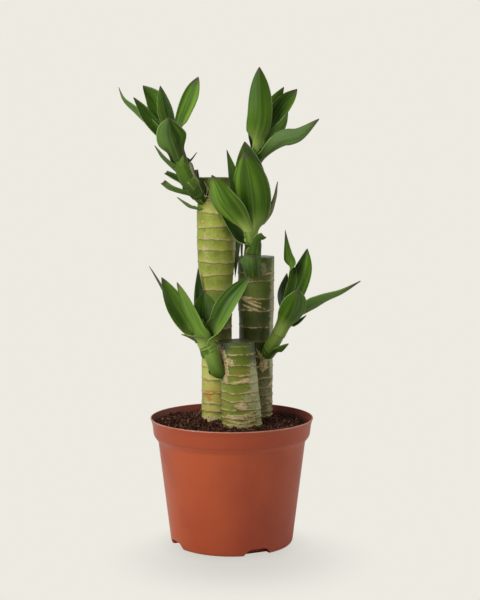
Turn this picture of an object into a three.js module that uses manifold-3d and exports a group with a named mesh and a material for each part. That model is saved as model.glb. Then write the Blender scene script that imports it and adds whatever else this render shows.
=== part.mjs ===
// A potted lucky bamboo: three cut canes of different heights with five leafy shoots,
// planted in the soil of a plastic nursery pot. Millimetres, +Z up, the front towards -Y.
// The origin is the centre of the pot's underside.

import * as THREE from 'three';
import { mergeVertices } from 'three/addons/utils/BufferGeometryUtils.js';
import Module from 'manifold-3d';

// ---- Driving dimensions ----

const GAP = 0.3; // clearance between pieces that touch
const OVERCUT = 1; // a cutting body reaches this far past the face it cuts

// Pot
const RIM_RADIUS = 60;
const POT_HEIGHT = 93.6;
const LIP_HEIGHT = 3; // the band flares out to the lip over this height
const LIP_FLARE = 0.8; // and by this much
const BAND_RADIUS = 57.8; // the rim band's lower end
const BAND_BOTTOM = 82.2;
const BAND_PULL = [0.5, 3.2]; // inwards and down from there, this point pulls the neck's curve
const NECK_RADIUS = 54.1; // the wall's upper end, under the curved neck
const NECK_BOTTOM = 74.8;
const NECK_PULL = [0.1, 2.8]; // the same, outwards and up from the neck's lower end
const BASE_RADIUS = 45;
const CORNER = 3; // rounding of the foot
const DRAFT = 0.3; // the wall leans out by this much over the corner's height
const WALL = 1.1;
const POT_SIDES = 48;
const NOTCH_WIDTH = 18;
const NOTCH_HEIGHT = 5.2;
const NOTCH_DEPTH = 8;
const NOTCH_FLARE = 2; // the arch opens by this much at the ground on each side
const NOTCH_ROUND = 5; // and is rounded over this length at the top
const NOTCH_TURNS = [-65, 25, 115, 205]; // degrees from the front, to the right
const DRAIN_RADIUS = 2.5;

// Soil
const SOIL_EDGE = 87.5; // height where the soil meets the wall
const SOIL_TILT = 1.5; // it lies this much higher on the left and lower on the right
const SOIL_HEAP = 2; // rise round the canes
const SOIL_LUMP = 0.9; // height of its lumps
const LUMPS_A = [0.42, 0.2, 0]; // radians per millimetre to the right and to the back, and shift
const LUMPS_B = [-0.15, 0.37, 1];
const SOIL_RINGS = 5;
const SOIL_SIDES = 28;

// Canes. Radii are [height, radius] pairs.
const CANE_SIDES = 14;
const PLANTED = 38; // height of the canes' lower ends
const RING_RISE = 0.4; // leaf-scar rings stand this proud
const CUT_BEVEL = 0.5; // at the cut top
const FOOT_BEVEL = 2; // at the planted end
const CANES = {
  tall: {
    foot: [-11, 9],
    top: [-11.5, 9, 269.5],
    radii: [
      [88, 11.4], [150, 11.1], [178, 11.4], [197, 12.3], [204, 13.2], [212, 13.8], [223, 14.2],
      [244, 14.2], [269, 12.6],
    ],
    rings: [
      97.5, 104, 112, 121.5, 130.5, 140.5, 150, 159.5, 169, 178.5,
      188, 198.5, 208, 217, 225, 234, 244, 253.5, 262.5,
    ],
    leaves: [
      {
        from: 0.86, via: [-31.5, -2, 248.5], tip: [-39.5, -4, 255.5], width: 10,
        face: [0.6, 0.2, 0.8], clasp: 0.5,
      },
    ],
    colour: 0x86a43a,
  },
  middle: {
    foot: [18, 25],
    top: [18.2, 25, 210.5],
    radii: [[88, 12.5], [120, 12.4], [158, 12.8], [178, 13.5], [210, 13.5]],
    rings: [95, 100.5, 107, 112.5, 119.5, 128, 137, 147.5, 159, 170.5, 180, 192.5, 198.5],
    colour: 0x57762c,
  },
  front: {
    foot: [11.5, -12],
    top: [3.2, -12, 151.5],
    radii: [[88, 14.7], [106, 14.2], [115, 13.8], [132, 13.4], [151, 13.2]],
    rings: [97, 103, 109, 115.5, 122.5, 127.5, 135, 143.5],
    colour: 0x6d8c38,
  },
};

// Shoots: the stem's path from its cane to its tip and its radii along it, and the leaves.
// A leaf starts at a share of the stem (from), passes its belly (via) and ends at its tip;
// a long one passes a point beyond its belly as well.
// Its width is measured flat across the belly, and its inner side looks towards face there.
// A twisted leaf's inner side looks towards turn at the tip, and is half turned at the share
// twist of its length. A leaf with a lower taper narrows sooner. A cut leaf ends in a share
// of its width.
const BLADE_THICK = 0.7;
const BROAD = 12; // a leaf this wide has two strips on each half and more steps along it
const BROAD_STEPS = 7;
const SLENDER_STEPS = 6;
const STEM_SIDES = 10;
const STEM_STEPS = 7;
const SHEATH = 8; // length of stem that a leaf's base clasps
const SHEATH_THICK = 2.2; // the sheath is sunk into the stem
const SHEATH_RISE = 0.4; // and stands this proud of it
const LEAF = {
  belly: 0.5, // share of the blade at its widest
  taper: 1.8,
  twist: 0.75,
  neck: 0.55, // share of the width where the blade leaves its sheath
  fold: 0.2, // radians that each half is folded up at the midrib
  curl: 0.35, // radians that each half rolls in
  clasp: 1.4, // radians that each half of the sheath reaches round the stem
  cut: 0.03,
};
const SHOOTS = {
  tall_left: {
    cane: 'tall',
    colour: 0x4d7a2a,
    stem: [
      [-18, 5, 254], [-23.5, -2.5, 259], [-29, -8, 264.5], [-34, -11, 273.5],
      [-38, -12, 283.5], [-41, -11, 294.5], [-44, -9, 304.5],
    ],
    radii: [5.8, 5.8, 5.6, 5.5, 5.5, 4],
    leaves: [
      { from: 0.72, via: [-68.5, 4, 314.5], tip: [-82.5, 8, 335], width: 12, face: [0.7, 0.5, 0.4] },
      { from: 0.74, via: [-61, -4, 313], tip: [-70.5, -4, 327], width: 13, face: [0.5, -0.9, 0.4] },
      { from: 0.8, via: [-55.5, 6, 323.5], tip: [-63.5, 8, 335.5], width: 16, face: [0.2, -1, 0.1] },
      { from: 0.86, via: [-49, -3, 322.5], tip: [-51, 0, 335], width: 11.5, face: [0.3, -1, 0] },
      { from: 0.82, via: [-30, -2, 321.5], tip: [-24, 2, 342], width: 15, face: [-0.5, -1, 0.3] },
      { from: 0.54, via: [-44.5, -21, 299], tip: [-44, -26, 312], width: 22, face: [0, 1, 0.2] },
      { from: 0.6, via: [-34, 0, 299], tip: [-40, 4, 312], width: 14, face: [-1, -0.4, 0] },
      { from: 0.26, via: [-49, -19, 283.5], tip: [-54.5, -22, 292.5], width: 9, face: [0.5, 0.4, 0.7] },
      { from: 0.42, via: [-30, -3, 281], tip: [-25, -2, 288], width: 5, face: [-1, 0, 0.3] },
      { from: 0.16, via: [-44, 0, 269], tip: [-49, 2, 270], width: 9, face: [0.3, -0.7, 0.6], cut: 0.5 },
      {
        from: 0.08, via: [-43, -14, 264.5], tip: [-49.5, -16, 266.5], width: 9,
        face: [0.3, 0.6, 0.7], cut: 0.8,
      },
      { from: 0.12, via: [-26, 10, 268.5], tip: [-26.5, 11, 275], width: 6, face: [-0.3, -1, 0.2], cut: 0.8 },
    ],
  },
  tall_right: {
    cane: 'tall',
    colour: 0x4d7a2a,
    stem: [
      [-4, 14, 251], [2, 18, 257], [9, 20, 266], [14, 18, 276.5], [18, 14, 286], [20.5, 11, 294],
    ],
    radii: [6.5, 6.5, 5.5, 5, 4],
    leaves: [
      {
        from: 0.8, via: [20.5, 0, 313], tip: [20, 2, 349], width: 20,
        face: [0, 1, 0], neck: 0.8, belly: 0.45,
      },
      { from: 0.72, via: [15.5, 18, 308], tip: [18, 20, 323], width: 12, face: [0.6, -1, 0] },
      { from: 0.86, via: [30, 20, 320.5], tip: [38.5, 26, 336], width: 14, face: [-0.2, -1, 0.2] },
      { from: 0.82, via: [35, 14, 317], tip: [48, 18, 334], width: 15, face: [-0.4, -1, 0.2] },
      { from: 0.84, via: [37.5, 8, 308.5], tip: [41, 6, 317.5], width: 10, face: [-0.4, 0.9, 0.1] },
      { from: 0.6, via: [38.5, -5, 297], tip: [62.5, -12, 311.5], width: 10, face: [-0.3, 0.9, 0.5] },
      { from: 0.04, via: [7, 18, 233], tip: [4.5, 15, 194], width: 4, face: [-0.6, 0.8, 0.2], clasp: 0.6 },
    ],
  },
  middle_top: {
    cane: 'middle',
    colour: 0x4d7a2a,
    stem: [
      [15.5, 8, 200], [14.5, 3, 206.5], [15, 1, 215.5], [14, 0, 224], [13.5, 0, 233], [12.5, 0, 242],
    ],
    radii: [6, 6.5, 5.5, 5, 4.5, 3.5],
    leaves: [
      { from: 0.75, via: [13.5, 4, 267.5], tip: [9.5, 6, 295.5], width: 25, face: [0, -1, 0] },
      { from: 0.55, via: [14, -9, 262], tip: [9.5, -10, 288], width: 30, face: [0, 1, 0.1] },
      { from: 0.65, via: [0.5, -4, 274], tip: [-3.5, -6, 289.5], width: 13, face: [0.5, -1, 0.1] },
      { from: 0.42, via: [-6.5, -20, 252], tip: [-14, -23, 271.5], width: 23, face: [0.3, 0.9, 0.4] },
      { from: 0.45, via: [0.5, -11, 236], tip: [-9, -12, 245.5], width: 12, face: [0.6, -0.4, 0.7] },
      { from: 0.6, via: [29.5, 6, 248.5], tip: [33.5, 8, 266.5], width: 7, face: [-1, 0.2, 0.4] },
      { from: 0.3, via: [19.5, -7, 225], tip: [23.5, -9, 227.5], width: 9, face: [-0.5, 0.8, 0.3], cut: 0.7 },
    ],
  },
  middle_low: {
    cane: 'middle',
    colour: 0x4d7a2a,
    stem: [
      [22.5, 15, 136.5], [26, 9, 140.5], [29.5, 6, 146.5], [33.5, 4, 154], [37.5, 3, 163], [40.5, 3, 172],
    ],
    radii: [4.5, 4.5, 4, 3.5, 3],
    leaves: [
      {
        from: 0.8, via: [43, 2, 194.5], beyond: [41, 3, 214], tip: [39, 0, 231.5], width: 8.5,
        face: [0.5, -1, 0], turn: [0.5, 1, 0], belly: 0.7, twist: 0.6,
      },
      { from: 0.78, via: [54, 8, 203], tip: [55.5, 6, 217.5], width: 17, face: [-0.4, -1, 0] },
      { from: 0.72, via: [38, 14, 184.5], tip: [41, 18, 198.5], width: 12, face: [0.4, -1, 0] },
      {
        from: 0.5, via: [45.5, -14, 178], tip: [47.5, -22, 190], width: 18.5,
        face: [-0.1, 1, 0.2], belly: 0.6,
      },
      {
        from: 0.7, via: [65.5, 0, 180], beyond: [80, -5, 186.5], tip: [93.5, -8, 195], width: 9.5,
        face: [-0.3, 0.9, 0.5], belly: 0.35, taper: 1,
      },
      { from: 0.6, via: [52, 6, 164.5], tip: [56, 8, 166.5], width: 7, face: [-0.4, 0, 0.9] },
      {
        from: 0.12, via: [34.5, -4, 143.5], tip: [41.5, -7, 149], width: 6.5,
        face: [-0.2, 1, 0.3], clasp: 0.8,
      },
    ],
  },
  front_left: {
    cane: 'front',
    colour: 0x5a8a30,
    stem: [
      [-6, -15, 127.5], [-10.5, -20, 132], [-13.5, -22.5, 140], [-17, -23, 149], [-21.5, -23, 158],
      [-25, -23, 167],
    ],
    radii: [5.5, 5.5, 5.3, 5.8, 6.5, 5],
    leaves: [
      { from: 0.72, via: [-43, -14, 177], tip: [-59.5, -12, 206], width: 9, face: [0.7, 0.3, 0.6] },
      { from: 0.7, via: [-42, -28, 181.5], tip: [-49.5, -32, 199.5], width: 17, face: [0.4, -0.9, 0.3] },
      {
        from: 0.55, via: [-31, -31, 175], tip: [-38.5, -36, 196.5], width: 13, face: [0.5, 0.8, 0.3],
        neck: 1.1, belly: 0.35,
      },
      { from: 0.6, via: [-27.5, 14, 182.5], tip: [-26, 16, 201], width: 8, face: [0.6, -1, 0.2] },
      { from: 0.75, via: [-19, -16, 174], tip: [-20, -12, 187], width: 19, face: [0, -1, 0.1] },
      {
        from: 0.5, via: [-2, -26, 180.5], tip: [13, -22, 199.5], width: 17,
        face: [-0.4, -0.9, 0.4], neck: 0.35,
      },
      { from: 0.6, via: [-31, -24, 155.5], tip: [-35.5, -24, 157], width: 4, face: [0.2, 0, 1] },
      { from: 0.25, via: [-22, -22, 141], tip: [-23.5, -24, 145], width: 6, face: [1, 0, 0] },
    ],
  },
};

// ---- Shared shape functions ----

const wasm = await Module();
wasm.setup();

const vec = (point) => new THREE.Vector3(...point);
const mix = THREE.MathUtils.lerp;
const smooth = (x) => THREE.MathUtils.smoothstep(x, 0, 1);

// Value at x on a line through [x, value] pairs.
function along(pairs, x) {
  const next = pairs.findIndex(([place]) => place > x);
  if (next === 0) return pairs[0][1];
  if (next < 0) return pairs.at(-1)[1];
  const [x0, v0] = pairs[next - 1];
  const [x1, v1] = pairs[next];
  return mix(v0, v1, (x - x0) / (x1 - x0));
}

// Closed body through sections with as many corners each. Round sections are closed by a
// fan. A blade's section runs across its upper face and back across its lower face: its
// ends are closed by a strip, and both faces are split into triangles alike.
function loft(sections, isBlade = false) {
  const count = sections[0].length;
  const corners = sections.flat();
  const index = [];
  const last = (sections.length - 1) * count;
  for (let start = 0; start < last; start += count) {
    for (let j = 0; j < count; j++) {
      const a = start + j;
      const b = start + ((j + 1) % count);
      const c = b + count;
      const d = a + count;
      if (isBlade && j >= count / 2) index.push(a, b, d, b, c, d);
      else index.push(a, b, c, a, c, d);
    }
  }
  if (isBlade) {
    for (let j = 0; j + 1 < count / 2; j++) {
      const below = count - 1 - j;
      index.push(j, below, j + 1, below, below - 1, j + 1);
      index.push(last + j, last + j + 1, last + below, last + j + 1, last + below - 1, last + below);
    }
  } else {
    for (const start of [0, last]) {
      const centre = new THREE.Vector3();
      corners.slice(start, start + count).forEach((corner) => centre.addScaledVector(corner, 1 / count));
      const hub = corners.push(centre) - 1;
      for (let j = 0; j < count; j++) {
        const a = start + j;
        const b = start + ((j + 1) % count);
        index.push(hub, start ? a : b, start ? b : a);
      }
    }
  }
  const geometry = new THREE.BufferGeometry().setFromPoints(corners);
  geometry.setIndex(index);
  return geometry;
}

// Solid for joining and cutting, with its faces turned out.
function solid(geometry) {
  const bare = geometry.clone();
  bare.deleteAttribute('normal');
  bare.deleteAttribute('uv');
  const merged = mergeVertices(bare);
  const place = merged.getAttribute('position');
  const corner = (i) => new THREE.Vector3().fromBufferAttribute(place, i);
  const faces = [];
  let volume = 0;
  const index = merged.getIndex().array;
  for (let i = 0; i < index.length; i += 3) {
    const [a, b, c] = index.slice(i, i + 3);
    if (a === b || b === c || c === a) continue;
    faces.push([a, b, c]);
    volume += corner(a).dot(corner(b).cross(corner(c)));
  }
  if (volume < 0) faces.forEach((face) => face.reverse());
  return new wasm.Manifold(new wasm.Mesh({
    numProp: 3,
    vertProperties: Float32Array.from(place.array),
    triVerts: Uint32Array.from(faces.flat()),
  }));
}

const join = (solids) => solids.reduce((sum, next) => sum.add(next));

// The largest body of a solid: drops loose scraps and fills sealed hollows.
function largest(body) {
  return body.decompose().reduce((big, next) => (next.volume() > big.volume() ? next : big));
}

function mesh(name, body, colour, roughness) {
  const { vertProperties, triVerts } = body.getMesh();
  const geometry = new THREE.BufferGeometry();
  geometry.setAttribute('position', new THREE.Float32BufferAttribute(vertProperties, 3));
  geometry.setIndex(new THREE.Uint32BufferAttribute(triVerts, 1));
  geometry.computeVertexNormals();
  const material = new THREE.MeshStandardMaterial({ color: colour, roughness, metalness: 0 });
  const part = new THREE.Mesh(geometry, material);
  part.name = name;
  return part;
}

// ---- Pot ----

// The wall's section, moved in by inset, from the axis at the bottom to the axis at the top.
function potProfile(inset, bottom, top) {
  const path = new THREE.Path();
  path.moveTo(0, bottom);
  path.lineTo(BASE_RADIUS - CORNER, bottom);
  path.quadraticCurveTo(BASE_RADIUS - inset, bottom, BASE_RADIUS + DRAFT - inset, bottom + CORNER);
  path.lineTo(NECK_RADIUS - inset, NECK_BOTTOM);
  path.bezierCurveTo(
    NECK_RADIUS + NECK_PULL[0] - inset, NECK_BOTTOM + NECK_PULL[1],
    BAND_RADIUS - BAND_PULL[0] - inset, BAND_BOTTOM - BAND_PULL[1],
    BAND_RADIUS - inset, BAND_BOTTOM,
  );
  path.lineTo(RIM_RADIUS - LIP_FLARE - inset, POT_HEIGHT - LIP_HEIGHT);
  path.lineTo(RIM_RADIUS - inset, POT_HEIGHT - WALL / 2);
  const edge = inset ? RIM_RADIUS - inset : RIM_RADIUS - WALL / 4;
  path.lineTo(edge, POT_HEIGHT);
  if (top > POT_HEIGHT) path.lineTo(edge, top);
  path.lineTo(0, top);
  return path.getPoints(3);
}

function spin(profile, sides) {
  return new THREE.LatheGeometry(profile, sides).rotateX(Math.PI / 2);
}

// The block that shapes a foot notch: a low arch that runs in from the wall.
function notch(turn, grow) {
  const half = NOTCH_WIDTH / 2 + grow;
  const height = NOTCH_HEIGHT + grow;
  const arch = new THREE.Shape();
  arch.moveTo(-half - NOTCH_FLARE, -OVERCUT);
  arch.lineTo(half + NOTCH_FLARE, -OVERCUT);
  arch.quadraticCurveTo(half, height, half - NOTCH_ROUND, height);
  arch.lineTo(NOTCH_ROUND - half, height);
  arch.quadraticCurveTo(-half, height, -half - NOTCH_FLARE, -OVERCUT);
  const block = new THREE.ExtrudeGeometry(arch, {
    depth: NOTCH_DEPTH + POT_HEIGHT, bevelEnabled: false, curveSegments: 4,
  });
  block.rotateX(Math.PI / 2);
  block.translate(0, grow - (BASE_RADIUS - NOTCH_DEPTH), 0);
  return solid(block.rotateZ(THREE.MathUtils.degToRad(turn)));
}

function drain(turn) {
  const hole = new THREE.CylinderGeometry(DRAIN_RADIUS, DRAIN_RADIUS, NECK_BOTTOM, 12).rotateX(Math.PI / 2);
  hole.translate(0, NOTCH_DEPTH / 2 - BASE_RADIUS, 0);
  return solid(hole.rotateZ(THREE.MathUtils.degToRad(turn)));
}

const notches = (grow) => join(NOTCH_TURNS.map((turn) => notch(turn, grow)));

function pot() {
  const outside = solid(spin(potProfile(0, 0, POT_HEIGHT), POT_SIDES)).subtract(notches(0));
  const inside = solid(spin(potProfile(WALL, WALL, POT_HEIGHT + OVERCUT), POT_SIDES)).subtract(notches(WALL));
  return outside.subtract(inside).subtract(join(NOTCH_TURNS.map(drain)));
}

// ---- Canes ----

function caneAxis({ foot, top }, height) {
  const share = (height - PLANTED) / (top[2] - PLANTED);
  return new THREE.Vector3(mix(foot[0], top[0], share), mix(foot[1], top[1], share), height);
}

// A cane stands proud at each ring and is a little slimmer between two rings.
function cane(spec, grow = 0) {
  const { top, radii, rings } = spec;
  const stops = [[PLANTED - grow, -FOOT_BEVEL], [PLANTED + FOOT_BEVEL, 0], [radii[0][0], 0]];
  rings.forEach((ring, i) => {
    const next = rings[i + 1] ?? top[2];
    stops.push([ring, RING_RISE], [(ring + next) / 2, 0]);
  });
  stops.push([top[2] - CUT_BEVEL, 0], [top[2] + grow, -CUT_BEVEL]);
  const sections = stops.map(([height, rise]) => {
    const centre = caneAxis(spec, height);
    const radius = along(radii, height) + rise + grow;
    return Array.from({ length: CANE_SIDES }, (_, i) => {
      const turn = (i / CANE_SIDES) * 2 * Math.PI;
      return new THREE.Vector3(Math.cos(turn), Math.sin(turn), 0).multiplyScalar(radius).add(centre);
    });
  });
  return solid(loft(sections));
}

// A cane with the leaves that grow straight out of it.
function leafyCane(spec) {
  const curve = new THREE.LineCurve3(caneAxis(spec, PLANTED), vec(spec.top));
  const radiusAt = (share) => along(spec.radii, mix(PLANTED, spec.top[2], share));
  const leaves = (spec.leaves ?? []).map((leaf) => blade({ curve, radiusAt }, leaf));
  return largest(join([cane(spec), ...leaves]));
}

// ---- Soil ----

function soil(caneHoles) {
  const inset = WALL + GAP;
  const lowest = SOIL_EDGE - SOIL_TILT - SOIL_LUMP;
  const band = [[BAND_BOTTOM, BAND_RADIUS], [POT_HEIGHT - LIP_HEIGHT, RIM_RADIUS - LIP_FLARE]];
  const edge = along(band, lowest) - inset;
  const wall = potProfile(inset, inset, POT_HEIGHT).filter(({ y }) => y <= BAND_BOTTOM);
  const wave = ([right, back, shift], x, y) => Math.sin(x * right + y * back + shift);
  const top = Array.from({ length: SOIL_RINGS + 1 }, (_, i) => {
    return new THREE.Vector2(edge * (1 - i / SOIL_RINGS), SOIL_EDGE);
  });
  const geometry = spin([...wall, ...top], SOIL_SIDES);
  const place = geometry.getAttribute('position');
  for (let i = 0; i < place.count; i++) {
    const x = place.getX(i);
    const y = place.getY(i);
    if (place.getZ(i) <= BAND_BOTTOM) continue;
    const inward = 1 - Math.hypot(x, y) / edge;
    const lump = SOIL_LUMP * wave(LUMPS_A, x, y) * wave(LUMPS_B, x, y);
    place.setZ(i, SOIL_EDGE - (SOIL_TILT * x) / edge + SOIL_HEAP * smooth(inward * 2) + lump);
  }
  return solid(geometry).subtract(notches(WALL + GAP)).subtract(caneHoles);
}

// ---- Shoots ----

function stemOf({ stem, radii }) {
  const curve = new THREE.CatmullRomCurve3(stem.map(vec), false, 'centripetal');
  const pairs = radii.map((radius, i) => [i / (radii.length - 1), radius]);
  return { curve, radiusAt: (share) => along(pairs, share) };
}

function stemBody({ curve, radiusAt }) {
  const { normals, binormals } = curve.computeFrenetFrames(STEM_STEPS);
  const sections = normals.map((normal, i) => {
    const share = i / STEM_STEPS;
    const centre = curve.getPointAt(share);
    return Array.from({ length: STEM_SIDES }, (_, j) => {
      const turn = (j / STEM_SIDES) * 2 * Math.PI;
      const side = normal.clone().multiplyScalar(Math.cos(turn));
      side.addScaledVector(binormals[i], Math.sin(turn));
      return side.multiplyScalar(radiusAt(share)).add(centre);
    });
  });
  return solid(loft(sections));
}

// The part of a direction that is square to a tangent.
function squareTo(direction, tangent) {
  return direction.clone().addScaledVector(tangent, -direction.dot(tangent)).normalize();
}

// One leaf: its sheath clasps the stem, opens into a blade folded along the midrib, widens
// to the belly and narrows to the tip.
function blade({ curve, radiusAt }, leaf) {
  const { from, via, beyond, tip, width, face, turn, twist, belly, taper, neck, fold, curl, clasp, cut } = {
    ...LEAF,
    ...leaf,
  };
  const core = curve.getPointAt(from);
  const upward = curve.getTangentAt(from);
  const outward = squareTo(vec(via).sub(core), upward);
  const strips = width < BROAD ? 1 : 2;
  const steps = width < BROAD ? SLENDER_STEPS : BROAD_STEPS;
  const radius = radiusAt(from) + SHEATH_RISE - SHEATH_THICK / 2;
  const start = core.clone().addScaledVector(outward, radius);
  const leave = start.clone().addScaledVector(upward, SHEATH);
  const guide = [via, ...(beyond ? [beyond] : []), tip].map(vec);
  const midrib = new THREE.CatmullRomCurve3([start, leave, ...guide], false, 'centripetal');
  const sheath = SHEATH / midrib.getLength();
  const sections = [];
  for (let i = 0; i <= steps; i++) {
    const share = i / steps;
    const hold = 1 - smooth((share - sheath * 0.5) / (sheath + 0.1));
    const tangent = midrib.getTangentAt(share);
    const turned = smooth((share - twist) * 2 + 0.5);
    const looks = vec(face).normalize().lerp(vec(turn ?? face).normalize(), turned);
    const inner = squareTo(looks.lerp(outward.clone().negate(), hold), tangent);
    const side = tangent.clone().cross(inner);
    const spread = share < belly
      ? mix(neck, 1, smooth(share / belly))
      : mix(1, cut, ((share - belly) / (1 - belly)) ** taper);
    const half = mix((width / 2) * spread, radius * clasp, hold);
    const tilt = mix(fold, 0, hold);
    const bend = mix(curl, clasp, hold);
    const centre = midrib.getPointAt(share);
    const rows = [-1, 1].map((up) => {
      return Array.from({ length: 2 * strips + 1 }, (_, j) => {
        const across = j / strips - 1;
        const angle = tilt + bend * Math.abs(across);
        const out = Math.sign(across) * (Math.sin(angle) - Math.sin(tilt)) / bend;
        const lift = (Math.cos(tilt) - Math.cos(angle)) / bend;
        const corner = centre.clone().addScaledVector(side, out * half).addScaledVector(inner, lift * half);
        const thick = (up * mix(BLADE_THICK, SHEATH_THICK, hold)) / 2;
        corner.addScaledVector(inner, thick * Math.cos(across ? angle : 0));
        return corner.addScaledVector(side, -thick * Math.sin(across ? angle : 0) * Math.sign(across));
      });
    });
    sections.push([...rows[1], ...rows[0].reverse()]);
  }
  return solid(loft(sections, true));
}

function shoot(spec, canesCut) {
  const stem = stemOf(spec);
  const blades = spec.leaves.map((leaf) => blade(stem, leaf));
  return largest(join([stemBody(stem), ...blades]).subtract(canesCut));
}

// ---- Plant ----

const plant = new THREE.Group();
plant.add(mesh('pot', pot(), 0xad5232, 0.45));

const caneCuts = {};
for (const [name, spec] of Object.entries(CANES)) {
  caneCuts[name] = cane(spec, GAP);
  plant.add(mesh(`cane_${name}`, leafyCane(spec), spec.colour, 0.5));
}
plant.add(mesh('soil', largest(soil(join(Object.values(caneCuts)))), 0x32190f, 1));
for (const [name, spec] of Object.entries(SHOOTS)) {
  plant.add(mesh(`shoot_${name}`, shoot(spec, caneCuts[spec.cane]), spec.colour, 0.4));
}

export default plant;
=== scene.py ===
"""A potted lucky bamboo: ringed canes cut flat at the top, leafy shoots, dark soil, plastic pot.

Metres, +Z up, the front towards -Y, the origin at the centre of the pot's underside.
"""

import math
from random import Random

import bmesh
import bpy
from bpy.props import FloatProperty, FloatVectorProperty, IntProperty, PointerProperty
from mathutils import Euler, Matrix, Vector, noise


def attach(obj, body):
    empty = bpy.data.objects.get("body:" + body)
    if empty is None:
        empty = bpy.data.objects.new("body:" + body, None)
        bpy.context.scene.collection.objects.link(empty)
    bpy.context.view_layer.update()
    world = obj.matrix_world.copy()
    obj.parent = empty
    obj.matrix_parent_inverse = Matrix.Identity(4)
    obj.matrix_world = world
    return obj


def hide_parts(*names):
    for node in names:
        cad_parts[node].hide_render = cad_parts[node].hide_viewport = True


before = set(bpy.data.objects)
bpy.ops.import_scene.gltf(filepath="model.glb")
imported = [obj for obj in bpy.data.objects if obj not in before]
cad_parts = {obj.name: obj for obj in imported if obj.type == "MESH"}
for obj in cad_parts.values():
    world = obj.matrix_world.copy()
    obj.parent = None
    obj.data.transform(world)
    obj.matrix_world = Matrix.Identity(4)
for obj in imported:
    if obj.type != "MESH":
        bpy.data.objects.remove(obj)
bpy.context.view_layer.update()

bl_info = {
    "name": "Potted lucky bamboo",
    "version": (1, 0, 0),
    "blender": (4, 5, 0),
    "location": "3D View > Sidebar > Lucky bamboo",
    "description": "Builds the pot, the soil, the canes and the leafy shoots",
    "category": "Add Mesh",
}

MM = 0.001
FULL_TURN = 2 * math.pi
MERGE = 1e-6  # points that are closer than this become one

# ---- The plant's form, in millimetres ----

PLANTED = 38  # height of the canes' lower ends
SOIL_LINE = 84  # below this height a cane is hidden by soil

# Each cane's shade table gives heights and the strength of painted shade there.
CANES = {
    "tall": {
        "foot": (-11, 9),
        "top": (-11.5, 9, 269.5),
        "radii": [
            (88, 11.4), (150, 11.1), (178, 11.4), (197, 12.3), (204, 13.2), (212, 13.8), (223, 14.2),
            (244, 14.2), (269, 12.6),
        ],
        "rings": [
            89.3, 97.5, 103.9, 111.7, 121.4, 130.6, 140.2, 149.8, 159.3, 168.9, 178.4,
            187.8, 198.3, 207.9, 216.8, 225, 233.9, 244.2, 253.4, 262.7,
        ],
        "shade": [
            (146, 0.2), (152, 1.9), (174, 1.7), (184, 0.8), (190, 0.3), (200, 0.05), (255, 0.0), (262, 0.15),
            (264, 0.95),
        ],
    },
    "middle": {
        "foot": (18, 25),
        "top": (18.2, 25, 210.5),
        "radii": [(88, 12.5), (120, 12.4), (158, 12.8), (178, 13.5), (210, 13.5)],
        "rings": [91, 94.9, 100.5, 107.1, 112.5, 119.7, 128, 137, 147.5, 158.8, 170.3, 179.7, 192.3, 198.3],
        "shade": [
            (100, 0.2), (118, 0.45), (130, 0.9), (146, 1.1), (168, 0.95), (185, 0.4), (195, 0.1), (200, 0.4),
        ],
    },
    "front": {
        "foot": (11.5, -12),
        "top": (3.2, -12, 151.5),
        "radii": [(88, 14.7), (106, 14.2), (115, 13.8), (132, 13.4), (151, 13.2)],
        "rings": [88.6, 91.3, 96.9, 103, 109.1, 115.3, 122.5, 127.5, 135.2, 143.6],
        "shade": [(95, 0.15), (110, 0.1), (124, 0.2), (134, 0.6), (140, 1.05), (151, 1.35)],
    },
}


def leaf(start, via, tip, width, faces, tones_and_shading=(0.5,), **more):
    """A leaf's place on its stem and its form, with its tone from left to right as seen from the front.

    A tone runs from 0, deep green, to 1, light green, and holds painted light and shade as well as the leaf's
    colour.
    Low and high add painted light and shade at the base and the tip, and ends is the share of the blade that
    its dry tip takes up.
    """
    usual = {
        "beyond": None, "turn": faces, "belly": 0.5, "neck": 0.55, "fold": 0.2, "curl": 0.35,
        "clasp": 1.4, "cut": 0.03, "taper": 1.8, "twist": 0.75, "low": 0.0, "high": 0.0,
        "pale": 0.1, "dry": 0.0, "ends": 0.1, "bloom": (0, 0),
    }
    row = {"start": start, "via": via, "tip": tip, "width": width, "faces": faces, "tones_and_shading": tones_and_shading}
    return {**usual, **row, **more}


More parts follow.
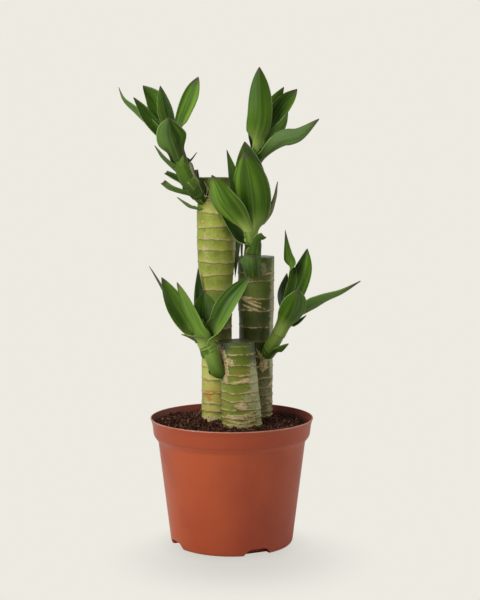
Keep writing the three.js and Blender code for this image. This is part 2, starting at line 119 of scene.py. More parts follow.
SHOOTS = {
    "tall_left": {
        "stem": [(-18, 5, 254), (-23.5, -2.5, 259), (-29, -8, 264.5), (-34, -11, 273.5), (-38, -12, 283.5),
            (-41, -11, 294.5), (-44, -9, 304.5)],
        "radii": [6, 6.3, 6, 5.6, 5.5, 4],
        "tones_and_shading": (0.1, 0.12, 0.25, 0.45, 0.35, 0.3, 0.4),
        "nodes": (0.2,),
        "young": 0.05,
        "leaves": [
            leaf(0.72, (-69.7, 4, 316.9), (-82.3, 8, 335), 11, (0.7, 0.5, 0.4), (0.55, 0.4),
                 beyond=(-79, 7, 326), belly=0.4, bloom=(0.7, 0.3), low=-0.3),
            leaf(0.74, (-61, -4, 313), (-70.5, -4, 327), 13, (0.5, -0.9, 0.4), (0.25, 0.45, 0.25, 0.15),
                 low=-0.05),
            leaf(0.8, (-55.5, 6, 325), (-64.5, 8, 336), 17, (0.2, -1, 0.1), (0.35, 0.6, 0.85), belly=0.6,
                 taper=1.9, high=-0.35, low=-0.2),
            leaf(0.86, (-49, -3, 320), (-51.5, 0, 335.5), 12.5, (0.3, -1, 0), (0.8, 0.75, 0.1, 0.25),
                 bloom=(0.25, 0)),
            leaf(0.82, (-30, -2, 323.5), (-24, 2, 342), 14.5, (-0.5, -1, 0.3), (0.3, 0.7, 0.45, 1.0, 0.45),
                 belly=0.6, taper=2.6, low=-0.3, high=-0.1, ends=0.17),
            leaf(0.64, (-43.8, -19, 301), (-44.3, -25, 312), 23.5, (0, 1, 0.2),
                 (0.5, 0.45, 0.4, 0.05, 0.25, 0.4, 0.3), bloom=(0.4, 0), low=-0.3, neck=0.65, taper=1.6),
            leaf(0.6, (-34, 0, 299), (-40, 4, 312), 14, (-1, -0.4, 0), (0.15, 0.2)),
            leaf(0.26, (-49, -19, 283.5), (-54.5, -22, 292.5), 9, (0.5, 0.4, 0.7), (0.35, 0.45),
                 bloom=(0.4, 0.4), high=-0.3, pale=0.3),
            leaf(0.42, (-30, -3, 281), (-25, -2, 288), 5, (-1, 0, 0.3), dry=0.9),
            leaf(0.3, (-35, -17.6, 279), (-34, -18, 286), 11, (-0.2, 1, 0.1), (0.45, 0.6, 0.75, 0.5),
                 neck=1.1, belly=0.3, taper=1.3, cut=0.1, low=-0.1, pale=0.25),
            leaf(0.16, (-43, 0, 270.5), (-48, 2, 273), 6.5, (0.3, -0.7, 0.6), (0.15, 0.3), cut=0.6),
            leaf(0.06, (-43.5, -14, 261.5), (-49.5, -16, 266), 7.5, (0.3, 0.6, 0.7), (0.25, 0.5), cut=0.85,
                 bloom=(0.3, 0.3)),
            leaf(0.12, (-26, 10, 268.5), (-26.5, 11, 275), 6, (-0.3, -1, 0.2), (0.1,), cut=0.8),
        ],
    },
    "tall_right": {
        "stem": [(-4, 14, 251), (2, 18, 257), (9, 20, 266), (14, 18, 276.5), (18, 14, 286), (20.5, 11, 294)],
        "radii": [6.5, 6.5, 5.5, 5, 4],
        "tones_and_shading": (0.3, 0.3, 0.2),
        "nodes": (0.3,),
        "young": 0,
        "leaves": [
            leaf(0.8, (20.3, 0, 314), (20, 2, 349), 19.5, (0, 1, 0), (0.5, 0.62, 0.4, 0.5, 0.45, 0.6, 0.4),
                 neck=0.5, belly=0.4, taper=3.2, high=-0.15, pale=0.6),
            leaf(0.72, (15.5, 18, 308), (18, 20, 323), 12, (0.6, -1, 0), (0.1, 0.15)),
            leaf(0.86, (30, 20, 320.5), (38.5, 26, 336), 14, (-0.2, -1, 0.2), (0.55, 0.45, 0.05, 0.05)),
            leaf(0.82, (35, 14, 317.5), (48, 18, 334), 15.5, (-0.4, -1, 0.2), (0.15, 0.25, 0.45, 0.5),
                 belly=0.6, taper=2.4, high=0.1, ends=0.14),
            leaf(0.84, (37.5, 8, 308.5), (41, 6, 317.5), 10, (-0.4, 0.9, 0.1), (0.4, 0.55), bloom=(0.3, 0)),
            leaf(0.6, (36, -7, 297.3), (62.5, -12, 311.5), 12.5, (-0.3, 0.9, 0.5), (0.3, 0.4, 0.5),
                 beyond=(47.5, -10, 300.2), turn=(0, 1, 0.1), twist=0.35, neck=0.35, belly=0.62, taper=1.3,
                 bloom=(0.75, 0.6), low=-0.3, ends=0.14),
            leaf(0.04, (5.2, 17, 234), (2.4, 15, 196), 6, (-0.3, 0.9, 0.2), (0.12, 0.3, 0.1), clasp=0.6,
                 bloom=(0.3, 0.3)),
        ],
    },
    "middle_top": {
        "stem": [(15.5, 8, 200), (14.5, 3, 206.5), (15, 1, 215.5), (14, 0, 224), (13.5, 0, 233),
            (12.5, 0, 242)],
        "radii": [6, 6.5, 5.5, 5, 4.5, 3.5],
        "tones_and_shading": (0.15, 0.3, 0.75, 0.8, 0.5),
        "nodes": (),
        "young": 0.3,
        "leaves": [
            leaf(0.75, (13.5, 4, 267.5), (9.5, 6, 295.5), 25, (0, -1, 0), (0.6, 0.9, 0.3, 0.25, 0.3),
                 taper=2.2, high=-0.1),
            leaf(0.55, (14, -9, 262), (9.5, -10, 288), 30, (0, 1, 0.1),
                 (0.4, 0.7, 0.35, 0.25, 0.6, 0.5, 0.25, 0.45), taper=2.4, pale=0.6),
            leaf(0.65, (0.5, -4, 272), (-3.5, -6, 289.5), 14, (0.5, -1, 0.1), (0.55, 0.35, 0.6, 0.4),
                 taper=1.2, bloom=(0.4, 0)),
            leaf(0.58, (-6.5, -20, 253), (-14, -23, 271.5), 23, (0.3, 0.9, 0.4), (0.5, 0.8, 0.75, 0.5, 0.4),
                 neck=0.42, taper=2.4, pale=1.1),
            leaf(0.36, (0.8, -5.5, 236.5), (-9, -7.5, 247), 13, (0.3, -1, 0.1), (0.02, 0.1)),
            leaf(0.3, (19.5, -7, 225), (23.5, -9, 227.5), 9, (-0.5, 0.8, 0.3), (0.35,), cut=0.7),
            leaf(0.02, (13.9, -6.4, 207.5), (14.2, -8, 213.5), 24, (0.05, 1, 0.1), (0.3, 0.2, 0.35, 0.3, 0.1),
                 neck=0.75, curl=1.1, cut=0.5, taper=2.2, bloom=(0.5, 0.3), ends=0.1),
        ],
    },
    "middle_low": {
        "stem": [(25, 14, 137.5), (27.5, 9, 141.5), (30.3, 6, 147), (34, 4, 154), (38, 3, 163), (41, 3, 172)],
        "radii": [4.8, 5.2, 5, 4, 3],
        "tones_and_shading": (0.85, 0.7, 0.6, 0.45, 0.35),
        "nodes": (0.22,),
        "young": 0.35,
        "leaves": [
            leaf(0.8, (43, 2, 194.5), (39, 0, 231.5), 10.4, (0.5, -1, 0), (0.7, 0.6, 0.15),
                 beyond=(41.2, 3, 213), turn=(0, 1, 0), belly=0.68, twist=0.6, taper=0.8, curl=0.9, high=-0.1,
                 ends=0.19),
            leaf(0.78, (54, 8, 204), (55.5, 6, 217.5), 17, (-0.4, -1, 0), (0.02, 0.08, 0.7, 0.45, 0.3),
                 taper=2.4, low=-0.3),
            leaf(0.72, (38, 14, 184.5), (41, 18, 198.5), 12, (0.4, -1, 0), (0.02, 0.02, 0.1)),
            leaf(0.55, (45.3, -14, 176.5), (47.5, -22, 190), 20, (-0.1, 1, 0.2), (0.35, 0.5, 0.4, 0.3, 0.35),
                 belly=0.55, taper=2.4, bloom=(0, 0.3), pale=0.7),
            leaf(0.7, (65.5, 0, 180), (93.5, -8, 195), 11.5, (-0.3, 0.9, 0.5), (0.4, 0.55),
                 beyond=(80, -5, 186.5), belly=0.42, taper=0.9, bloom=(0.4, 0.8), low=-0.1, ends=0.28),
            leaf(0.6, (49, 3, 164), (55, 5, 168.5), 5, (-0.3, -0.9, 0.3), (0.05,), belly=0.4, taper=1.1),
            leaf(0.12, (34.5, -4, 143.5), (41.5, -7, 149), 6.5, (-0.2, 1, 0.3), (0.25, 0.35), clasp=0.8),
        ],
    },
    "front_left": {
        "stem": [(-6, -15, 127.5), (-10.5, -20, 132), (-13.5, -22.5, 140), (-17, -23, 149), (-21.5, -23, 158),
            (-25, -23, 167)],
        "radii": [5.5, 5.5, 5.3, 5.8, 6.5, 5],
        "tones_and_shading": (0.3, 0.35, 0.55, 0.85, 0.75, 0.65, 0.6),
        "nodes": (0.55,),
        "young": 0.25,
        "leaves": [
            leaf(0.72, (-43, -14, 177), (-59.5, -12, 206), 9, (0.7, 0.3, 0.6), (0.2,), dry=0.75, low=-0.1),
            leaf(0.6, (-41.5, -28, 180.5), (-49.5, -32, 199.5), 17.5, (0.4, -0.9, 0.3), (0.55, 0.3, 0.6, 0.5),
                 neck=0.4, taper=2.2, pale=0.9, bloom=(0.2, 0)),
            leaf(0.55, (-31, -31, 175), (-38.5, -36, 196.5), 13, (0.5, 0.8, 0.3), (0.55, 0.8, 0.7), neck=1.25,
                 belly=0.35, taper=2.6, bloom=(0.3, 0.2), pale=0.35),
            leaf(0.6, (-23.7, -1, 184), (-24.6, 0, 203.7), 10, (-0.1, -1, 0.1), (0.3, 0.05, 0.1), taper=1.4),
            leaf(0.75, (-19, -16, 174), (-20, -12, 187), 19, (0, -1, 0.1), (0.35, 0.25, 0.45, 0.35),
                 taper=2.2),
            leaf(0.5, (-2, -26, 180.5), (13, -22, 199.5), 17, (-0.4, -0.9, 0.4), (0.4, 0.35, 0.6, 0.9),
                 neck=0.35, taper=2.2, high=-0.15, pale=0.5, bloom=(0, 0.3)),
            leaf(0.5, (-31, -24, 156), (-36, -24, 158), 5.5, (0.2, 0.5, 1), (0.45,), dry=0.4),
            leaf(0.1, (-20.5, -23.5, 142), (-22.8, -24.5, 147.5), 6, (0.5, 0.7, 0.3), (0.5,)),
        ],
    },
}

BRACT = leaf(
    0.86, (-31.5, -2, 248.5), (-39.5, -4, 255.5), 10, (0.6, 0.2, 0.8), (0.45, 0.6), clasp=0.5, dry=0.25,
    bloom=(0.2, 0.2),
)

SHREDS = [  # dry strips: points, width, and how straw-coloured they are
    (((21, 1, 235), (27, 3, 243), (31.5, 6, 255), (33.6, 8, 266.5)), 4.2, 0.35),
    (((-30.5, -13.5, 281), (-26.5, -13.5, 270), (-21, -9.5, 259)), 3.2, 0.1),
    (((-24, -8, 266), (-20.5, -7, 261), (-19, -7.5, 254)), 1.3, 0.2),
    (((-20, -6, 267), (-17.5, -6.5, 262), (-18.5, -7.5, 255)), 1.0, 0.35),
    (((-17.5, -5, 264), (-16, -6, 259), (-17.5, -7.5, 252.5)), 0.8, 0.6),
    (((-23, -6, 260), (-18, -8, 256), (-14.5, -7, 257)), 0.7, 0.5),
    (((20.5, 3.5, 208), (22.5, 5, 203), (21.5, 9, 197)), 1.1, 0.25),
    (((19.5, 2, 204), (23, 4, 200), (24, 9.5, 196.5)), 0.8, 0.3),
    (((21, 5, 206), (25, 7.5, 204), (25.5, 9.5, 199)), 0.7, 0.4),
    (((17.5, 1.5, 201), (20.5, 4, 197.5), (20, 9.5, 193.5)), 0.7, 0.3),
    (((0.8, 14, 246), (1.6, 13, 230), (1.2, 13, 206)), 1.8, 0),
    (((2.6, 14, 240), (4.0, 13, 224), (3.2, 13, 204)), 2.4, 0),
    (((5.5, 15, 238), (7.6, 14, 221), (6.8, 14, 203)), 2.6, 0),
    (((21.8, 10, 136.5), (19.8, 8.5, 139.5), (17.6, 8.5, 143.5)), 1.2, 0.9),
    (((22, 10, 136.5), (22.6, 8, 139.5), (23.6, 7.5, 143)), 1.2, 1.0),
    (((21.6, 10, 136), (21, 8, 139), (20.4, 8, 142)), 1.1, 0.8),
    (((22.2, 10, 136), (24.4, 7.5, 137), (26.6, 5.5, 138.5)), 1.2, 0.9),
    (((21.8, 10, 136), (19, 9, 136.5), (16.6, 9.5, 138.5)), 0.7, 0.7),
    (((22, 10, 136.5), (21.5, 8.5, 133), (20.4, 9.8, 130)), 1.3, 0.8),
    (((22.4, 10, 136), (23.8, 8.8, 133), (24, 10.5, 129.5)), 1.3, 0.7),
    (((22, 10, 137), (23.5, 7.8, 136.5), (23.2, 7.8, 133)), 1.1, 1.0),
]

# ---- Sizes and colours that a user may change ----


def length(name, words, default):
    return FloatProperty(name=name, description=words, default=default, unit="LENGTH", precision=4)


def colour(name, words, default):
    return FloatVectorProperty(
        name=name, description=words, default=default, size=3, subtype="COLOR", min=0, max=1
    )


class PotSettings(bpy.types.PropertyGroup):
    rim_radius: length("Rim radius", "Outer radius at the lip", 0.06)
    height: length("Height", "From the foot to the lip", 0.0936)
    lip_height: length("Lip height", "How far the flared lip reaches down", 0.003)
    lip_flare: length("Lip flare", "How far the lip stands out of the rim band", 0.0009)
    band_radius: length("Band radius", "Outer radius at the lower end of the rim band", 0.0578)
    band_bottom: length("Band bottom", "Height of the rim band's lower end", 0.0822)
    neck_radius: length("Neck radius", "Outer radius at the upper end of the wall", 0.0541)
    neck_bottom: length("Neck bottom", "Height of the upper end of the wall", 0.0748)
    base_radius: length("Base radius", "Outer radius at the foot", 0.045)
    corner: length("Corner", "Rounding of the foot", 0.003)
    wall: length("Wall", "Thickness of the plastic", 0.0011)
    notch_width: length("Notch width", "Width of a foot notch", 0.018)
    notch_height: length("Notch height", "Height of a foot notch", 0.0052)
    notch_depth: length("Notch depth", "How far a foot notch runs in", 0.008)
    drain_radius: length("Drain radius", "Radius of a drain hole", 0.0025)
    sides: IntProperty(name="Sides", description="Segments round the pot", default=192, min=24)
    plastic: colour("Plastic", "Colour of the plastic", (0.385, 0.064, 0.0135))
    shaded_plastic: colour("Shaded plastic", "Colour of its redder clouds", (0.30, 0.041, 0.0105))
    # Pale colour of the painted highlight along the lip's top edge, and of worn flecks.
    lip_highlight_and_wear: colour("Worn lip", "Colour of the lip's worn edge", (0.60, 0.33, 0.24))
    # Darker plastic: painted shade on the inner wall and in the crease under the band.
    shaded_and_stained: colour("Stained wall", "Colour of the wall inside, stained by soil", (0.20, 0.031, 0.014))
    muddy: colour("Muddy wall", "Colour of the wall inside, where the soil meets it", (0.060, 0.022, 0.013))


class SoilSettings(bpy.types.PropertyGroup):
    edge: length("Edge height", "Height where the soil meets the wall", 0.0875)
    tilt: length("Tilt", "How much higher it lies on the left than in the middle", 0.0015)
    heap: length("Heap", "Rise round the canes", 0.002)
    lump: length("Lump", "Height of its lumps", 0.0009)
    crumbs: IntProperty(name="Crumbs", description="Number of loose crumbs", default=5600, min=0)
    fibres: IntProperty(name="Fibres", description="Number of loose fibres", default=420, min=0)
    dark: colour("Dark soil", "Colour of damp soil", (0.026, 0.0082, 0.0048))
    light: colour("Light soil", "Colour of its drier crumbs", (0.090, 0.030, 0.016))
    fibre: colour("Fibre", "Colour of its pale fibres", (0.34, 0.185, 0.115))


class CaneSettings(bpy.types.PropertyGroup):
    sides: IntProperty(name="Sides", description="Segments round a cane", default=120, min=12)
    step: length("Step", "Height of a row of faces above the soil", 0.00045)
    ring_rise: length("Ring rise", "How proud a leaf scar stands", 0.00038)
    ring_wave: length("Ring wave", "How far a leaf scar runs up and down", 0.0013)
    ring_width: length("Ring width", "Height of a leaf scar", 0.00075)
    scar: colour("Scar", "Colour of the leaf scars", (0.56, 0.44, 0.22))
    # Brown line under each leaf scar, partly painted shadow, with a darker band below it.
    scar_shade: colour("Scar shade", "Colour of the brown line under a leaf scar", (0.115, 0.062, 0.016))
    cork: colour("Cork", "Colour of healed wounds", (0.53, 0.42, 0.22))
    straw: colour("Straw", "Colour of dry fibres", (0.64, 0.53, 0.26))
    husk: colour("Husk", "Colour of grey, papery shreds", (0.135, 0.175, 0.095))
    rust: colour("Rust", "Colour of orange stains", (0.42, 0.15, 0.03))
    # Pale powdery coat, which also stands for painted sheen and highlight streaks.
    wax_and_sheen: colour("Wax", "Colour of the pale bloom", (0.43, 0.43, 0.24))
    # Dark grey colour of patches of painted shadow.
    painted_shade: colour("Stain", "Colour of dark grey stains", (0.050, 0.062, 0.040))


class LeafSettings(bpy.types.PropertyGroup):
    thickness: length("Thickness", "Thickness of a blade", 0.0006)
    sheath: length("Sheath", "Length of stem that a leaf's base clasps", 0.008)
    sheath_rise: length("Sheath rise", "How proud a sheath stands of its stem", 0.0004)
    across: IntProperty(name="Across", description="Faces across a blade", default=16, min=4)
    rows: IntProperty(name="Rows", description="Faces along a blade", default=56, min=12)
    deep: colour("Deep green", "Darkest leaf colour", (0.012, 0.030, 0.004))
    fresh: colour("Fresh green", "Middle leaf colour", (0.062, 0.135, 0.009))
    light: colour("Light green", "Lightest leaf colour", (0.175, 0.32, 0.035))
    # Greyish colour of a powdery underside, which also stands for painted glare.
    waxy_and_glare: colour("Waxy green", "Colour of the bloom on an underside", (0.115, 0.19, 0.060))
    margin: colour("Margin", "Colour of a leaf's thin edge", (0.26, 0.37, 0.12))
    young: colour("Young base", "Colour of a pale leaf base", (0.33, 0.42, 0.10))
    dry: colour("Dry tip", "Colour of dried leaf", (0.085, 0.060, 0.050))


class StageSettings(bpy.types.PropertyGroup):
    distance: length("Distance", "From the pot's axis to the camera", 1.0)
    camera_height: length("Camera height", "Height of the camera above the floor", 0.281)
    camera_shift: length("Camera shift", "How far right of the pot's axis the camera stands", 0.00605)
    pitch: FloatProperty(
        name="Pitch", description="How far the camera looks down", default=math.radians(5.76), subtype="ANGLE"
    )
    lens: FloatProperty(name="Lens", description="Focal length on a 36 mm high frame, in mm", default=82.32)
    backdrop: colour("Backdrop", "Colour of the lit backdrop", (0.8469, 0.8228, 0.7605))
    floor: colour("Floor", "Colour of the floor", (0.82, 0.80, 0.745))
    shade: FloatProperty(name="Shade", description="Darkest part of the soft shade at the foot", default=0.79)
    shade_reach: length("Shade reach", "How far the soft shade at the foot runs out", 0.105)
    front_light: FloatProperty(name="Front light", description="Strength of the room in front", default=0.09)
    back_light: FloatProperty(name="Back light", description="Strength of the bright backdrop", default=0.7)
    key: FloatProperty(name="Key light", description="Power of the main light, in watts", default=26.0)


# ---- Small helpers ----


def mix(a, b, share):
    return a + (b - a) * share


def smooth(x):
    x = min(max(x, 0.0), 1.0)
    return x * x * (3 - 2 * x)


def along(pairs, x):
    """Value at x on a line through (x, value) pairs."""
    if x <= pairs[0][0]:
        return pairs[0][1]
    for (x0, v0), (x1, v1) in zip(pairs, pairs[1:]):
        if x < x1:
            return mix(v0, v1, (x - x0) / (x1 - x0))
    return pairs[-1][1]


def squared(direction, tangent):
    """The part of a direction that is square to a tangent, one unit long."""
    return (direction - tangent * direction.dot(tangent)).normalized()


class Line:
    """A rounded line through points, which is walked by shares of its length."""

    STEPS = 40  # between two points

    def __init__(self, points):
        points = [Vector(p) for p in points]
        before = 2 * points[0] - points[1]
        after = 2 * points[-1] - points[-2]
        points = [before, *points, after]
        self.places = []
        for p0, p1, p2, p3 in zip(points, points[1:], points[2:], points[3:]):
            t0, t1, t2 = (math.sqrt((b - a).length) for a, b in ((p0, p1), (p1, p2), (p2, p3)))
            leave = ((p1 - p0) / t0 - (p2 - p0) / (t0 + t1) + (p2 - p1) / t1) * t1
            reach = ((p2 - p1) / t1 - (p3 - p1) / (t1 + t2) + (p3 - p2) / t2) * t1
            for i in range(self.STEPS):
                t = i / self.STEPS
                bend = 3 * (p2 - p1) - 2 * leave - reach
                swing = 2 * (p1 - p2) + leave + reach
                self.places.append(p1 + t * (leave + t * (bend + t * swing)))
        self.places.append(points[-2])
        self.marks = [0.0]
        for a, b in zip(self.places, self.places[1:]):
            self.marks.append(self.marks[-1] + (b - a).length)
        self.length = self.marks[-1]

    def at(self, share):
        reach = min(max(share, 0.0), 1.0) * self.length
        low, high = 0, len(self.marks) - 1
        while high - low > 1:
            middle = (low + high) // 2
            low, high = (middle, high) if self.marks[middle] <= reach else (low, middle)
        gap = self.marks[high] - self.marks[low]
        return self.places[low].lerp(self.places[high], (reach - self.marks[low]) / gap)

    def heading(self, share):
        nudge = 0.004
        return (self.at(min(share + nudge, 1)) - self.at(max(share - nudge, 0))).normalized()


def piece_from(name, bm, material, replaces=None, sharp=None):
    """A finished piece: the mesh as an object that rides with the pot and stands for a node."""
    bmesh.ops.recalc_face_normals(bm, faces=bm.faces)
    mesh = bpy.data.meshes.new(name)
    bm.to_mesh(mesh)
    bm.free()
    mesh.shade_smooth()
    if sharp:
        mesh.set_sharp_from_angle(angle=math.radians(sharp))
    mesh.materials.append(material)
    piece = bpy.data.objects.new(name, mesh)
    bpy.context.scene.collection.objects.link(piece)
    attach(piece, "root")
    if replaces:
        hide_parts(replaces)


def spun(profile, sides):
    """A bmesh of (radius, height) pairs turned round the Z axis."""
    bm = bmesh.new()
    points = [bm.verts.new((radius, 0, height)) for radius, height in profile]
    edges = [bm.edges.new(pair) for pair in zip(points, points[1:])]
    bmesh.ops.spin(
        bm, geom=points + edges, cent=(0, 0, 0), axis=(0, 0, 1), angle=FULL_TURN, steps=sides, use_merge=True
    )
    bmesh.ops.remove_doubles(bm, verts=bm.verts, dist=MERGE)
    bmesh.ops.recalc_face_normals(bm, faces=bm.faces)
    return bm


# ---- Materials ----


class Net:
    """The nodes of a material, a group or the world. Most methods give the socket that they made."""

    def __init__(self, tree):
        self.tree = tree

    def feed(self, socket, value):
        """Links an input to a socket, or sets it to a value."""
        if isinstance(value, bpy.types.NodeSocket):
            self.tree.links.new(value, socket)
        else:
            socket.default_value = value

    def add(self, kind, inputs=None, **settings):
        """A new node with its settings and its inputs."""
        node = self.tree.nodes.new("ShaderNode" + kind)
        for name, value in settings.items():
            setattr(node, name, value)
        for name, value in (inputs or {}).items():
            self.feed(node.inputs[name], value)
        return node

    def tint(self, share, low, high):
        """The mix of two colours, which are sockets or red, green and blue."""
        low, high = (c if isinstance(c, bpy.types.NodeSocket) else (*c, 1) for c in (low, high))
        return self.add("Mix", {0: share, 6: low, 7: high}, data_type="RGBA").outputs[2]

    def over(self, base, colour, mask, strength):
        """A colour laid over a base where a mask shows, at a strength."""
        return self.tint(self.times(mask, strength), base, colour)

    def math(self, kind, *values):
        return self.add("Math", dict(enumerate(values)), operation=kind).outputs[0]

    def times(self, a, b):
        return self.math("MULTIPLY", a, b)

    def plus(self, a, b):
        return self.math("ADD", a, b)

    def minus(self, a, b):
        return self.math("SUBTRACT", a, b)

    def ranged(self, value, low, high, to_low=0.0, to_high=1.0, **settings):
        """A value carried from one range to another, held at the ends."""
        inputs = {"Value": value, "From Min": low, "From Max": high, "To Min": to_low, "To Max": to_high}
        return self.add("MapRange", inputs, **settings).outputs[0]

    def value(self, name):
        """A value that the mesh carries."""
        return self.add("Attribute", attribute_name=name).outputs["Fac"]

    def place(self):
        return self.add("TexCoord").outputs["Object"]

    def height(self, place):
        return self.add("SeparateXYZ", {0: place}).outputs["Z"]

    def clouds(self, place, scale, low=0.35, high=0.65, detail=3.0):
        """A mask of soft clouds."""
        inputs = {"Place": place, "Scale": scale, "Detail": detail, "Low": low, "High": high}
        return self.add("Group", inputs, node_tree=clouds_group()).outputs["Mask"]

    def streaks(self, place, across, lengthwise, low=0.35, high=0.65):
        """A mask of fine lines along the growth."""
        inputs = {"Place": place, "Across": across, "Along": lengthwise, "Low": low, "High": high}
        return self.add("Group", inputs, node_tree=streaks_group()).outputs["Mask"]


def mask_group(name, numbers, pattern):
    """A node group, built once, that puts out a pattern between its Low and its High as a mask."""
    found = bpy.data.node_groups.get(name)
    if found:
        return found
    tree = bpy.data.node_groups.new(name, "ShaderNodeTree")
    tree.interface.new_socket("Place", in_out="INPUT", socket_type="NodeSocketVector")
    for label, default in {**numbers, "Low": 0.35, "High": 0.65}.items():
        socket = tree.interface.new_socket(label, in_out="INPUT", socket_type="NodeSocketFloat")
        socket.default_value = default
    tree.interface.new_socket("Mask", in_out="OUTPUT", socket_type="NodeSocketFloat")
    net = Net(tree)
    given = tree.nodes.new("NodeGroupInput").outputs
    mask = net.ranged(pattern(net, given), given["Low"], given["High"])
    tree.links.new(mask, tree.nodes.new("NodeGroupOutput").inputs["Mask"])
    return tree


def clouds_group():
    def pattern(net, given):
        inputs = {"Vector": given["Place"], "Scale": given["Scale"], "Detail": given["Detail"]}
        return net.add("TexNoise", inputs).outputs["Fac"]

    return mask_group("Clouds", {"Scale": 100.0, "Detail": 3.0}, pattern)


def streaks_group():
    def pattern(net, given):
        stretch = net.add("CombineXYZ", {"X": given["Across"], "Y": given["Along"], "Z": given["Across"]})
        inputs = {0: given["Place"], 1: stretch.outputs[0]}
        drawn = net.add("VectorMath", inputs, operation="MULTIPLY").outputs[0]
        return net.add("TexNoise", {"Vector": drawn, "Scale": 1.0, "Detail": 2.0}).outputs["Fac"]

    return mask_group("Growth streaks", {"Across": 30.0, "Along": 1.5}, pattern)


def surface(name, roughness, specular):
    """A new material, its nodes and its surface shader."""
    material = bpy.data.materials.new(name)
    material.use_nodes = True
    shader = material.node_tree.nodes["Principled BSDF"]
    shader.inputs["Roughness"].default_value = roughness
    shader.inputs["Specular IOR Level"].default_value = specular
    return material, Net(material.node_tree), shader


def finish_surface(net, shader, base, rough, relief, depth, strength):
    """Links the colour, the roughness, where it varies, and the relief to the surface shader."""
    net.feed(shader.inputs["Base Color"], base)
    if rough is not None:
        net.feed(shader.inputs["Roughness"], rough)
    bump = net.add("Bump", {"Height": relief, "Strength": strength, "Distance": depth})
    net.feed(shader.inputs["Normal"], bump.outputs[0])


def pot_plastic(pot):
    """Cloudy plastic with a painted highlight and wear on the lip, a painted shade line under the band and a
    darkened inner wall.
    """
    material, net, shader = surface("Moulded plastic", 0.4, 0.4)
    place = net.place()
    height = net.height(place)
    corner = pot.band_bottom - 0.0018  # where the painted shade line in the crease under the band lies
    # Everything above the crease partly takes the redder shaded plastic colour.
    band = net.ranged(height, corner - 0.0003, corner + 0.0003)
    wall = net.tint(net.clouds(place, 16.0), pot.plastic, pot.shaded_plastic)
    base = net.over(wall, pot.shaded_plastic, band, 0.55)
    # A thin dark line along the crease: painted shade where the band overhangs the wall.
    line = net.ranged(net.math("ABSOLUTE", net.minus(height, corner)), 0.0006, 0.0001)
    line = net.times(line, net.ranged(net.clouds(place, 40.0, 0.2, 0.5), 0, 1, 0.25, 0.5))
    base = net.tint(line, base, pot.shaded_and_stained)
    base = net.over(base, pot.lip_highlight_and_wear, net.clouds(place, 900.0, 0.62, 0.78, 5.0), 0.1)
    # A pale line along the lip's top edge: a painted highlight, broken up by clouds like wear.
    lip = net.ranged(height, pot.height - 0.0009, pot.height - 0.0003)
    lip = net.times(lip, net.ranged(net.clouds(place, 240.0, 0.2, 0.6), 0, 1, 0.2, 0.65))
    base = net.tint(lip, base, pot.lip_highlight_and_wear)
    # The inner wall is painted darker, as shade, and turns muddy where it meets the soil.
    inside = net.value("inside")
    uneven = net.plus(height, net.ranged(net.clouds(place, 220.0, 0.3, 0.7), 0, 1, -0.0012, 0.0012))
    muddy = net.ranged(uneven, pot.height - 0.003, pot.height - 0.0062)
    base = net.tint(inside, base, net.tint(muddy, pot.shaded_and_stained, pot.muddy))
    polish = net.ranged(net.clouds(place, 60.0, 0.2, 0.8), 0, 1, 0.33, 0.45)
    rough = net.plus(polish, net.ranged(inside, 0, 1, 0, 0.3))
    grain = net.add("TexNoise", {"Vector": place, "Scale": 1800.0, "Detail": 3.0}).outputs["Fac"]
    finish_surface(net, shader, base, rough, grain, 0.00003, 0.5)
    return material


def soil_earth(soil):
    """Damp, dark earth with drier crumbs and pale flecks."""
    material, net, shader = surface("Potting soil", 0.95, 0.12)
    place = net.place()
    base = net.tint(net.clouds(place, 420.0, 0.4, 0.75, 6.0), soil.dark, soil.light)
    base = net.over(base, soil.fibre, net.clouds(place, 1500.0, 0.68, 0.76, 2.0), 0.6)
    base = net.tint(net.value("pale"), base, soil.fibre)
    lumps = net.add("TexNoise", {"Vector": place, "Scale": 1500.0, "Detail": 6.0}).outputs["Fac"]
    finish_surface(net, shader, base, None, lumps, 0.0006, 0.8)
    return material


def leaf_skin(leaf_settings):
    """Leaves and stems: a tone with painted light and shade, veins and bands along the blade, a midrib, a
    pale coat with painted glare, thin pale margins and dry tips.
    """
    material, net, shader = surface("Leaf", 0.36, 0.12)
    blade = net.add("UVMap", uv_map="Blade").outputs[0]
    across = net.add("SeparateXYZ", {0: blade}).outputs["X"]
    off_rib = net.math("ABSOLUTE", net.minus(across, 0.5))
    own = net.value("own")
    shift = net.add("CombineXYZ", {"X": own, "Y": own, "Z": own}).outputs[0]
    spread = net.add("VectorMath", {0: blade, 1: shift}, operation="ADD").outputs[0]
    veins = net.streaks(spread, 46.0, 0.9, 0.3, 0.7)
    bands = net.streaks(spread, 8.0, 1.1, 0.3, 0.7)
    blade_only = net.ranged(net.value("stalk"), 0, 1, 1.0, 0.4)
    drift = net.times(net.minus(bands, 0.5), 0.42)
    fine = net.times(net.minus(veins, 0.5), 0.18)
    # The tone holds painted light and shade as well as the leaf's colour; bands and veins vary it.
    tone = net.plus(net.value("tone"), net.times(net.plus(drift, fine), blade_only))
    base = net.tint(net.ranged(tone, 0.0, 0.5), leaf_settings.deep, leaf_settings.fresh)
    base = net.tint(net.ranged(tone, 0.5, 1.0), base, leaf_settings.light)
    # A powdery coat, partly painted glare, grey-green and rougher.
    bloom = net.value("bloom")
    base = net.tint(bloom, base, leaf_settings.waxy_and_glare)
    base = net.tint(net.value("young"), base, leaf_settings.young)
    rib = net.times(net.ranged(off_rib, 0.03, 0.008), blade_only)
    base = net.over(base, leaf_settings.margin, rib, 0.14)
    edge = net.times(net.ranged(off_rib, 0.47, 0.492), blade_only)
    base = net.over(base, leaf_settings.margin, edge, 0.6)
    base = net.tint(net.value("dry"), base, leaf_settings.dry)
    finish_surface(net, shader, base, net.ranged(bloom, 0, 1, 0.38, 0.6), veins, 0.00012, 0.35)
    return material


